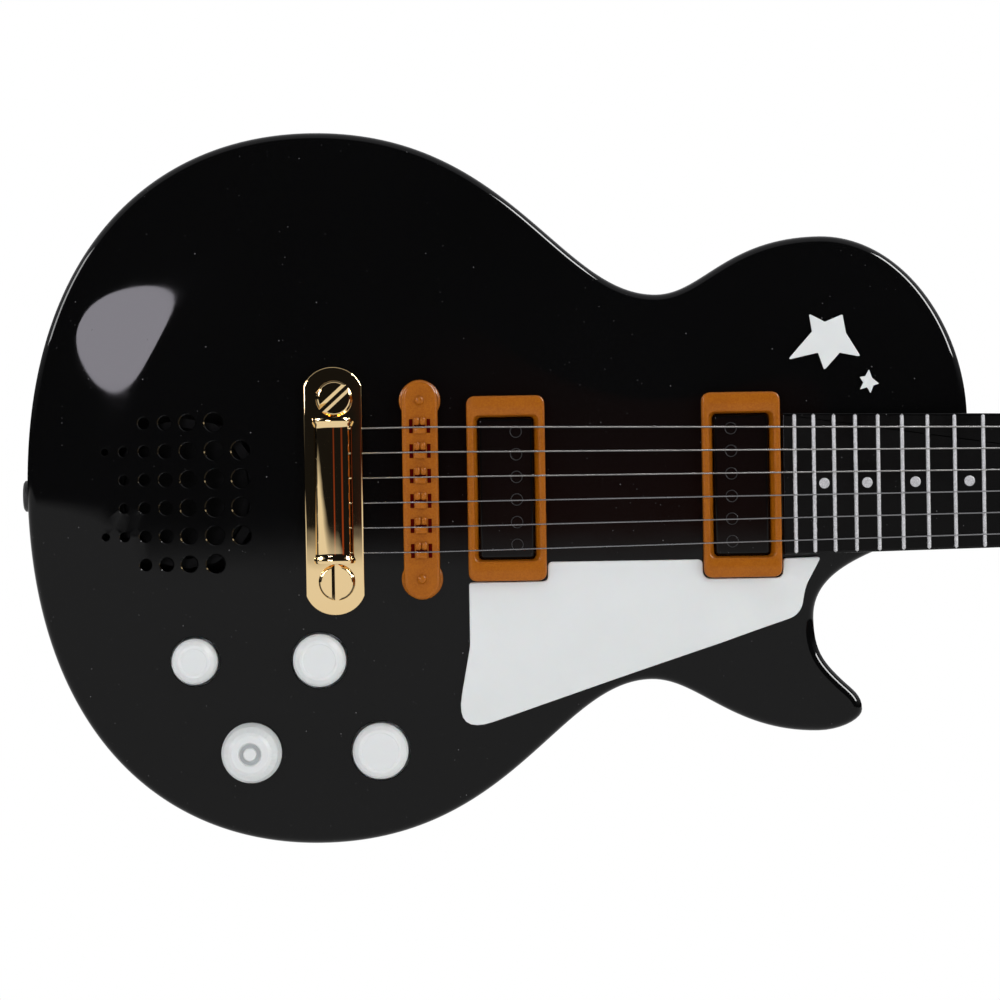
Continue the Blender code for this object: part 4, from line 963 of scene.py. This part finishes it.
def neck_back(material):
    """The rounded back of the neck and the squarer one of the headstock, one skin."""
    full_top = 31.0
    rim_z = FACE_BOX[2][0] - GAP                # the headstock's back stops below its face
    xs = [*np.arange(217.2, 270.0, 8.0), *np.arange(270.0, 444.0, 6.0), *np.arange(444.0, 453.1, 1.5),
          453.25, *np.arange(454.0, 556.0, 1.5), 556.6, 557.2, 557.5]
    bm = bmesh.new()
    sections = []
    for x in xs:
        half, bottom, squareness = neck_section(x)
        top = full_top if x < 453.2 else rim_z
        section = []
        for step in range(37):
            angle = math.pi * step / 36
            y = half * math.copysign(abs(math.cos(angle)) ** (2 / squareness), math.cos(angle))
            z = full_top - (full_top - bottom) * math.sin(angle) ** (2 / squareness)
            section.append(bm.verts.new((x, y, min(z, top))))
        sections.append(section)
    closed_loft(bm, sections)
    bmesh.ops.remove_doubles(bm, verts=bm.verts, dist=0.001)
    piece("neck_back", bm, material, stands_for=("neck_back_shell",), sharp=45)


def fret_x(fret):
    """Where a fret stands: each shortens the string by the twelfth root of two."""
    return NUT_X - SCALE_LENGTH * (1 - 2 ** (-fret / 12))


def fretboard(gloss, silver):
    """The glossy board, its printed frets with slightly ragged edges, and the dots."""
    x0, x1 = BOARD_X
    outline = softened([(x0, -board_half(x0), 0.4), (x1, -board_half(x1), 0.3),
                        (x1, board_half(x1), 0.3), (x0, board_half(x0), 0.4)], 3)
    bm = bmesh.new()
    slab(bm, outline, BOARD_Z[0], BOARD_TOP, 0.5, 4)
    piece("fretboard_plate", bm, gloss, stands_for=("fretboard",))
    bm = bmesh.new()
    rng = np.random.default_rng(7)
    for fret in range(1, FRETS + 1):
        closed_loft(bm, fret_rows(bm, fret_x(fret), 0.10 if fret > 18 else 0.04, rng))
    piece("frets", bm, silver)
    bm = bmesh.new()
    for fret in DOT_FRETS:
        x = (fret_x(fret) + fret_x(fret - 1)) / 2
        for y in (6.0, -6.0) if fret == 12 else (0.0,):
            lathe(bm, ((0, 0.12, 0), (1.35, 0.12, 0.06), (1.5, 0.0, 0.03), (1.5, -0.2, 0), (0, -0.2, 0)),
                  Matrix.Translation((x, y, BOARD_TOP)), 36)
    piece("position_dots", bm, silver)


def fret_rows(bm, x, ragged, rng):
    """A fret's sections across the board, with rounded ends and sides that wander a little."""
    half = board_half(x) - 0.2
    count = 90
    rows = []
    for k in range(count + 1):
        y = -half + 2 * half * k / count
        end = min(1.0, math.sqrt(max(0.0, 1 - max(0.0, abs(y) - (half - 0.6)) ** 2 / 0.36)) + 0.02)
        left, right = rng.normal(0, ragged, 2) * 0.5
        row = []
        for step in range(9):
            angle = math.pi * step / 8
            shift = right if step < 4 else left if step > 4 else 0.0
            row.append(bm.verts.new((x + 0.55 * end * math.cos(angle) + shift * end * 0.5, y,
                                     BOARD_TOP - 0.05 + (FRET_HEIGHT + 0.05) * end * math.sin(angle) ** 0.8)))
        rows.append(row)
    return rows


def nut(cream):
    """The cream nut with a groove for each string."""
    (x0, x1), (y0, y1), (z0, z1) = NUT_BOX
    bm = bmesh.new()
    block(bm, ((x0 + x1) / 2, (y0 + y1) / 2, (z0 + z1) / 2), (x1 - x0, y1 - y0, z1 - z0), 0.6, 4)
    obj = piece("nut_saddle", bm, cream, stands_for=("nut",))
    grooves = bmesh.new()
    for index in range(STRINGS):
        radius = STRING_RADII[index] + 0.12
        turned = Matrix.Translation(((x0 + x1) / 2, string_y(index, NUT_PITCH), z1 + GAP * 0.2))
        bmesh.ops.create_cone(grooves, cap_ends=True, segments=16, radius1=radius, radius2=radius, depth=8.0,
                              matrix=turned @ Matrix.Rotation(math.pi / 2, 4, "Y"))
    cut(obj, grooves)


def headstock(gloss, metal):
    """The headstock's glossy face and the bushings round the tuner posts."""
    (x0, x1), (z0, z1) = FACE_BOX[::2]
    xs = [*np.arange(x0, x1 - 3.0, 1.5), x1 - 2.2, x1 - 1.0, x1]
    side = [(float(x), headstock_half(x)) for x in xs]
    outline = [Vector((x, -half)) for x, half in side] + [Vector((x, half)) for x, half in reversed(side)]
    bm = bmesh.new()
    slab(bm, outline, z0, z1, 0.9, 5)
    piece("headstock_plate", bm, gloss, stands_for=("headstock_face",), sharp=50)
    bm = bmesh.new()
    for index in range(1, STRINGS + 1):
        x, y = post_place(index)[:2]
        lathe(bm, ((3.0, z1 + 1.5, 0), (4.2, z1 + 1.5, 0.3), (4.9, z1 + 0.9, 0.2), (5.3, z1 + 0.35, 0.15),
                   (5.3, z1 + 0.05, 0), (3.0, z1 + 0.05, 0)), Matrix.Translation((x, y, 0)), 48)
    piece("post_bushings", bm, metal)


def post_place(index):
    """x, y and side of a tuner post."""
    x0, x1 = local_box(f"tuner_post_{index}")[0]
    side = 1 if index <= STRINGS / 2 else -1
    return (x0 + x1) / 2, side * POST_Y, side


def winding(x, y, radius, side):
    """A string's turns round its post, from the side near the centre line, down toward the headstock."""
    turns = 2.5
    steps = 50
    reach = POST_NECK + 0.05 + radius
    path = []
    for step in range(1, steps + 1):
        angle = side * (2 * math.pi * turns * step / steps - math.pi / 2)
        height = 32.3 + turns * radius * 2.1 * (1 - step / steps)
        path.append((x + reach * math.cos(angle), y + reach * math.sin(angle), height))
    return path


def strings(plain, wound):
    """Six strings from the tailpiece over the saddles and the nut, wound round their posts."""
    plate_x = local_box("tailpiece_plate")[0][1]
    saddle_z = local_box("bridge_bar")[2][1]
    nut_x0, nut_x1 = NUT_BOX[0]
    nut_z = NUT_BOX[2][1]
    for index, radius in enumerate(STRING_RADII):
        node = f"string_{index + 1}"
        x, y, side = post_place(index + 1)
        bridge_y, nut_y = string_y(index, BRIDGE_PITCH), string_y(index, NUT_PITCH)
        top = saddle_z - 0.25 + radius
        reach = POST_Y - POST_NECK - 0.05 - radius
        path = [(plate_x - 0.6, bridge_y, 33.4), (plate_x + 1.0, bridge_y, 33.9),
                (BRIDGE_X - 4.0, bridge_y, top - 1.2), (BRIDGE_X - 1.6, bridge_y, top - 0.15),
                (BRIDGE_X, bridge_y, top), (BRIDGE_X + 2.0, bridge_y, top - 0.02),
                (nut_x0 - 3.0, nut_y + 0.05, nut_z + radius + 0.02), (nut_x0 + 1.6, nut_y, nut_z + radius),
                (nut_x1, nut_y, nut_z + radius - 0.15),
                (x - 6.0, side * (reach - 0.4), 33.9), (x, side * reach, 33.2)]
        bm = bmesh.new()
        tube(bm, path + winding(x, y, radius, side), radius, 12)
        piece(node + "_wire", bm, wound if index < WOUND_STRINGS else plain, stands_for=(node,))


def gear_outline():
    """Tapered teeth round the origin."""
    outline = []
    for tooth in range(GEAR_TEETH):
        centre = 2 * math.pi * (tooth + 0.5) / GEAR_TEETH
        for radius, offset in ((2.9, -0.35), (3.7, -0.15), (3.7, 0.15), (2.9, 0.35)):
            angle = centre + offset / radius
            outline.append(Vector((radius * math.cos(angle), radius * math.sin(angle))))
    return outline


def tuners(metal, cream):
    """Each tuner's post with its gear, and the key that turns it."""
    for index in range(1, STRINGS + 1):
        x, y, side = post_place(index)
        bm = bmesh.new()
        lathe(bm, ((0, 36.5, 0), (2.3, 36.6, 0.4), (2.8, 35.8, 0.3), (2.75, 34.9, 0.3),
                   (POST_NECK, 34.0, 0.4), (POST_NECK, 32.4, 0.4), (2.8, 31.4, 0.2), (2.8, 22.0, 0),
                   (1.9, 22.0, 0), (1.9, 15.6, 0), (0, 15.6, 0)), Matrix.Translation((x, y, 0)), 40)
        teeth = [Vector((x + p.x, y + p.y)) for p in gear_outline()]
        slab(bm, teeth, GEAR_Z - 0.5, GEAR_Z + 0.5, 0.08, 1)
        piece(f"post_{index}", bm, metal, f"tuner_post_{index}", (f"tuner_post_{index}",))
        tuner_key(index, x, side, metal, cream)


def tuner_key(index, x, side, metal, cream):
    """The worm's shaft in metal and the pearly grip pressed on it."""
    worm_x = x + WORM_CENTRE
    wall = headstock_half(worm_x) - POST_Y
    at = Matrix.Translation((worm_x, side * POST_Y, GEAR_Z)) @ Matrix.Rotation(-side * math.pi / 2, 4, "X")
    body = f"tuner_key_{index}"
    bm = bmesh.new()
    lathe(bm, ((0, wall + 5.5, 0), (1.7, wall + 5.5, 0), (1.7, wall + 1.9, 0), (3.0, wall + 1.9, 0.3),
               (3.2, wall + 0.5, 0.2), (1.8, wall + 0.5, 0), (1.8, 4.2, 0.3), (1.15, 3.8, 0), (1.15, -4.0, 0),
               (0, -4.0, 0)), at, 32)
    turns = 4
    steps = turns * 16
    path = []
    for step in range(steps + 1):
        along = turns * (step / steps - 0.5)
        angle = math.pi + 2 * math.pi * along
        path.append((worm_x + 1.35 * math.cos(angle), side * POST_Y + WORM_PITCH * along,
                     GEAR_Z + 1.35 * math.sin(angle)))
    tube(bm, path, 0.36, 6)
    piece(f"key_shaft_{index}", bm, metal, body)
    bm = bmesh.new()
    bmesh.ops.create_uvsphere(bm, u_segments=40, v_segments=28, radius=1.0)
    grip_y = side * (POST_Y + wall + 9.5)
    for vert in bm.verts:                       # a squared oval, dished on its flats and waisted at the shaft
        px, py, pz = vert.co
        pinch = 1.0 - 0.22 * max(0.0, -py * side)
        scallop = 1.0 - 0.10 * math.exp(-(px / 0.28) ** 2) * max(0.0, py * side)
        squared = math.copysign(abs(px) ** 0.85, px)
        dish = 1.0 - 0.28 * math.exp(-((px / 0.55) ** 2 + (py / 0.6) ** 2))
        vert.co = (worm_x + squared * 7.8 * pinch, grip_y + py * 6.0 * scallop, GEAR_Z + pz * 2.6 * dish)
    piece(f"key_grip_{index}", bm, cream, body, (f"tuner_key_{index}",))


# ---- back and tail --------------------------------------------------------------------------------------
def cross_screw(node, head_z, radius, body, material):
    """A pan-head screw seen from the back, with a cross recess."""
    x, y = centre_of(node)
    z1 = local_box(node)[2][1]
    bm = bmesh.new()
    lathe(bm, ((0, z1, 0), (1.2, z1 - 1.0, 0.1), (1.2, head_z + 1.5, 0), (radius, head_z + 1.5, 0.1),
               (radius, head_z + 0.7, 0.5), (radius * 0.55, head_z, 0.6), (0, head_z - 0.05, 0)),
          Matrix.Translation((x, y, 0)), 40)
    obj = piece(node + "_head", bm, material, body, (node,))
    for turn in (20, 110):
        recess = bmesh.new()
        block(recess, (x, y, head_z), (radius * 1.15, radius * 0.26, 1.3), 0.02, 1, math.radians(turn))
        cut(obj, recess)


def hatch(satin):
    """The battery door with its screw's counterbore and the ribs under the thumb."""
    (x0, x1), (y0, y1), (z0, z1) = local_box("battery_door")
    shape = rounded_box(x1 - x0, y1 - y0, 1.8, ((x0 + x1) / 2, (y0 + y1) / 2))
    bm = bmesh.new()
    rows = [ring(bm, inset_outline(shape, 0.4), z0), ring(bm, shape, z0 + 0.4), ring(bm, shape, z1)]
    hole_rows = [ring(bm, circle(radius, (DOOR_SCREW_X, 0.0), 32), z)
                 for radius, z in ((3.2, z0), (3.2, z0 + 1.0), (1.7, z0 + 1.0))]
    bridge_rings(bm, rows)
    bridge_rings(bm, hole_rows)
    bm.faces.new(hole_rows[-1])
    fill(bm, rows[0], hole_rows[:1])
    bm.faces.new(rows[-1])
    for k in range(7):
        block(bm, (x0 + 5.0 + 1.9 * k, 0.0, z0 + 0.15), (0.8, 16.0, 0.7), 0.2, 2)
    piece("hatch_cover", bm, satin, "battery_hatch", ("battery_door",))


def strap_buttons(satin):
    """The flat button at the tail and the waisted one at the heel, each on its shank."""
    (x0, unused), (y0, y1), (z0, z1) = local_box("strap_button_tail")
    radius = (y1 - y0) / 2
    face = TAIL_X - x0
    bm = bmesh.new()
    at = Matrix.Translation((TAIL_X, 0, (z0 + z1) / 2)) @ Matrix.Rotation(-math.pi / 2, 4, "Y")
    lathe(bm, ((0, face, 0), (radius * 0.62, face, 0.1), (radius * 0.85, face - 0.02, 0.15),
               (radius, face - 0.5, 0.2), (radius, 0.2, 0), (2.2, 0.2, 0), (2.2, -9, 0), (0, -9, 0)), at, 56)
    piece("tail_button", bm, satin, stands_for=("strap_button_tail",))
    x, y = centre_of("strap_button_heel")
    z0 = local_box("strap_button_heel")[2][0]
    bm = bmesh.new()
    at = Matrix.Translation((x, y, 0)) @ Matrix.Rotation(math.pi, 4, "X")
    lathe(bm, ((0, -z0, 0), (4.8, -z0, 0.4), (5.5, -z0 - 0.7, 0.4), (5.3, -z0 - 1.6, 0.5),
               (3.0, -z0 - 2.8, 0.8), (3.0, 1.8, 0.8), (4.6, 0.25, 0.2), (2.2, 0.25, 0), (2.2, -9, 0),
               (0, -9, 0)), at, 56)
    piece("heel_button", bm, satin, stands_for=("strap_button_heel",))


# ---- light, floor and camera -----------------------------------------------------------------------------
def area_light(name, at, target, size, power, colour=(1, 1, 1), glossy=True, diffuse=True, roll=0.0,
               shape="RECTANGLE"):
    """A lamp that faces its target; glossy or matt surfaces can be left out of its light."""
    data = bpy.data.lights.new(name, "AREA")
    data.shape = shape
    data.size, data.size_y = size
    data.energy = power
    data.color = colour
    obj = bpy.data.objects.new(name, data)
    obj.location = at
    obj.rotation_euler = (Vector(target) - Vector(at)).to_track_quat("-Z", "Y").to_euler()
    obj.rotation_euler.rotate_axis("Z", math.radians(-roll))
    obj.visible_glossy = glossy
    obj.visible_diffuse = diffuse
    bpy.context.scene.collection.objects.link(obj)


class Sky(Graph):
    """The surroundings by direction: x to the right, y away from the camera, z up."""

    def __init__(self, world):
        world.use_nodes = True
        super().__init__(world.node_tree)
        direction = self.node("TexCoord").outputs["Generated"]
        self.x, self.y, self.z = self.node("SeparateXYZ", Vector=direction).outputs

    def step(self, value, start, end):
        """0 up to start, 1 from end on."""
        return self.ramp(value, 0.0, 1.0, start, end)

    def band(self, centre, half_width):
        """1 in the middle of an upright band, fading to 0 at half_width."""
        distance = self.math("ABSOLUTE", self.math("SUBTRACT", self.x, centre), 0.0)
        return self.step(distance, half_width, half_width * 0.4)


def studio():
    """A dark room with a bright lower half and a white backdrop behind the guitar."""
    world = bpy.data.worlds.new("studio")
    bpy.context.scene.world = world
    sky = Sky(world)
    leaning = sky.math("ADD", sky.z, sky.math("MULTIPLY", sky.math("POWER", sky.x, 3.0), 0.02))
    bright = sky.step(leaning, -0.006, -0.016)
    warm = sky.math("MAXIMUM", sky.band(0.03, 0.065), sky.band(0.64, 0.08))
    warm = sky.math("MULTIPLY", warm, sky.step(sky.z, 0.045, -0.010))
    backdrop = sky.math("MULTIPLY", sky.step(sky.y, -0.55, -0.35), sky.step(sky.z, 0.10, 0.45))
    room = sky.mix(warm, (0.009, 0.009, 0.010), (0.28, 0.053, 0.017))
    room = sky.mix(bright, room, (0.80, 0.80, 0.80))
    room = sky.mix(backdrop, room, (0.75, 0.75, 0.77))
    seen = sky.node("LightPath").outputs["Is Camera Ray"]
    sky.join(sky.mix(seen, room, (1.0, 1.0, 1.0)), sky.nodes["Background"].inputs["Color"])
    area_light("key_softbox", (-0.385, -1.30, 0.228), (-0.30, 0.0, 0.18), (0.56, 0.18), 3.7,
               colour=(0.94, 0.90, 1.0), roll=19.0, shape="ELLIPSE")
    area_light("rim_left", (-1.4, -0.35, 0.75), (0.0, 0.0, 0.0), (0.5, 0.5), 12.0, diffuse=False)
    area_light("rim_right", (1.72, -0.55, 1.18), (0.24, 0.0, 0.0), (0.5, 1.4), 85.0, diffuse=False)
    area_light("fill_right", (1.5, -1.6, 0.9), (0.15, 0.0, 0.0), (0.9, 0.9), 11.5, glossy=False)
    area_light("fill_top", (0.1, -1.0, 1.3), (0.14, 0.0, -0.02), (1.2, 0.7), 5.0, glossy=False)
    for name, x, z in (("side_left", -1.0, 0.0), ("side_right", 1.3, -0.1), ("side_low", 0.15, -1.1)):
        area_light(name, (x, -0.45, z), (0.13, 0.0, 0.0), (0.7, 0.5), 3.0, glossy=False)


def floor():
    """A pale matt plane behind and below, which mirrors don't see."""
    paint = plain_matte("pale_floor", (0.80, 0.80, 0.79), (0.86, 0.86, 0.85), 0.7, 6.0)
    bm = bmesh.new()
    bmesh.ops.create_grid(bm, x_segments=1, y_segments=1, size=1.7)
    mesh = bpy.data.meshes.new("floor")
    bm.to_mesh(mesh)
    bm.free()
    mesh.materials.append(paint)
    obj = bpy.data.objects.new("floor", mesh)
    obj.location = (0.2, -0.4, -0.35)
    obj.visible_glossy = False
    bpy.context.scene.collection.objects.link(obj)


def camera():
    """A long lens square on to the face, framed like the photo."""
    distance = 1.2
    view_width = 0.2857                         # metres across the picture at the top's crown
    data = bpy.data.cameras.new("camera")
    data.sensor_width = 36.0
    data.lens = data.sensor_width * distance / view_width
    data.clip_end = 50.0
    obj = bpy.data.objects.new("camera", data)
    obj.location = (TAIL + 0.1357, BACK - CROWN_Z * MM - distance, -0.0033)
    obj.rotation_euler = Matrix.Rotation(math.pi / 2, 3, "X").to_euler()
    obj.rotation_euler.rotate_axis("Z", -math.radians(0.93))
    bpy.context.scene.collection.objects.link(obj)
    bpy.context.scene.camera = obj


# ---- assembly ----------------------------------------------------------------------------------------------
def paint_inner_nodes(metal):
    """The CAD nodes whose shape is right keep it and get a finished material."""
    cells = [(f"battery_cell_{index}", "cell_jacket", (0.05, 0.10, 0.24), (0.07, 0.13, 0.30), 0.3, 90.0)
             for index in (1, 2, 3)]
    looks = (
        # the speaker frame is near black: black paint, and painted shade so that the grille holes look dark
        # inside
        ("speaker_frame", "speaker_black_and_shade", (0.003, 0.003, 0.003), (0.006, 0.006, 0.006), 0.6, 300.0),
        ("speaker_cone", "cone_paper", (0.004, 0.004, 0.004), (0.008, 0.008, 0.008), 0.9, 400.0),
        ("control_board", "board_green", (0.01, 0.10, 0.03), (0.02, 0.17, 0.06), 0.5, 300.0),
        ("keypad_mat", "silicone_grey", (0.26, 0.27, 0.28), (0.33, 0.34, 0.35), 0.7, 200.0),
        *cells)
    materials = {"potentiometer": metal, "volume_shaft": metal}
    for node, name, low, high, roughness, scale in looks:
        dull = {"Specular_IOR_Level": 0.1} if node.startswith("speaker") else {}
        materials[node] = plain_matte(name, low, high, roughness, scale, **dull)
    for node, material in materials.items():
        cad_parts[node].material_slots[0].material = material


def build():
    """Every material, then every piece in its turn."""
    gloss = black_gloss("gloss_black")
    board_gloss = black_gloss("fretboard_black", 0.001, 0.15)
    satin = black_satin("satin_black")
    amber = amber_pearl()
    amber_shadow = plain_matte("amber_shadow", (0.050, 0.001, 0.0005), (0.070, 0.002, 0.001), 0.7, 600.0,
                               Specular_IOR_Level=0.0)
    white = white_plastic("white_plastic")
    # grey plastic for the painted shade in the knob's recess
    grey = white_plastic("recess_painted_shade", (0.50, 0.52, 0.52))
    gold = gold_mirror()
    silver = silver_paint()
    metal = steel("bright_steel")
    plain = steel("plain_string", (0.34, 0.34, 0.35), 0.25, (0.02, 1.0, 1.0))
    cream = cream_pearl()
    front_top(gloss)
    back_cover(satin)
    face_trim(white)
    pickups(amber, gloss, satin)
    bridge(amber, amber_shadow)
    tailpiece(gold)
    controls(white, grey)
    neck_back(satin)
    fretboard(board_gloss, silver)
    nut(cream)
    headstock(gloss, metal)
    tuners(metal, cream)
    strings(plain, wound_string())
    for node in CASE_SCREWS:
        cross_screw(node, 0.6, 3.0, ROOT, metal)
    cross_screw("battery_door_screw", -0.6, 2.8, "battery_hatch", metal)
    hatch(satin)
    strap_buttons(satin)
    paint_inner_nodes(metal)


build()
studio()
floor()
camera()
bpy.context.scene.view_settings.view_transform = "Standard"
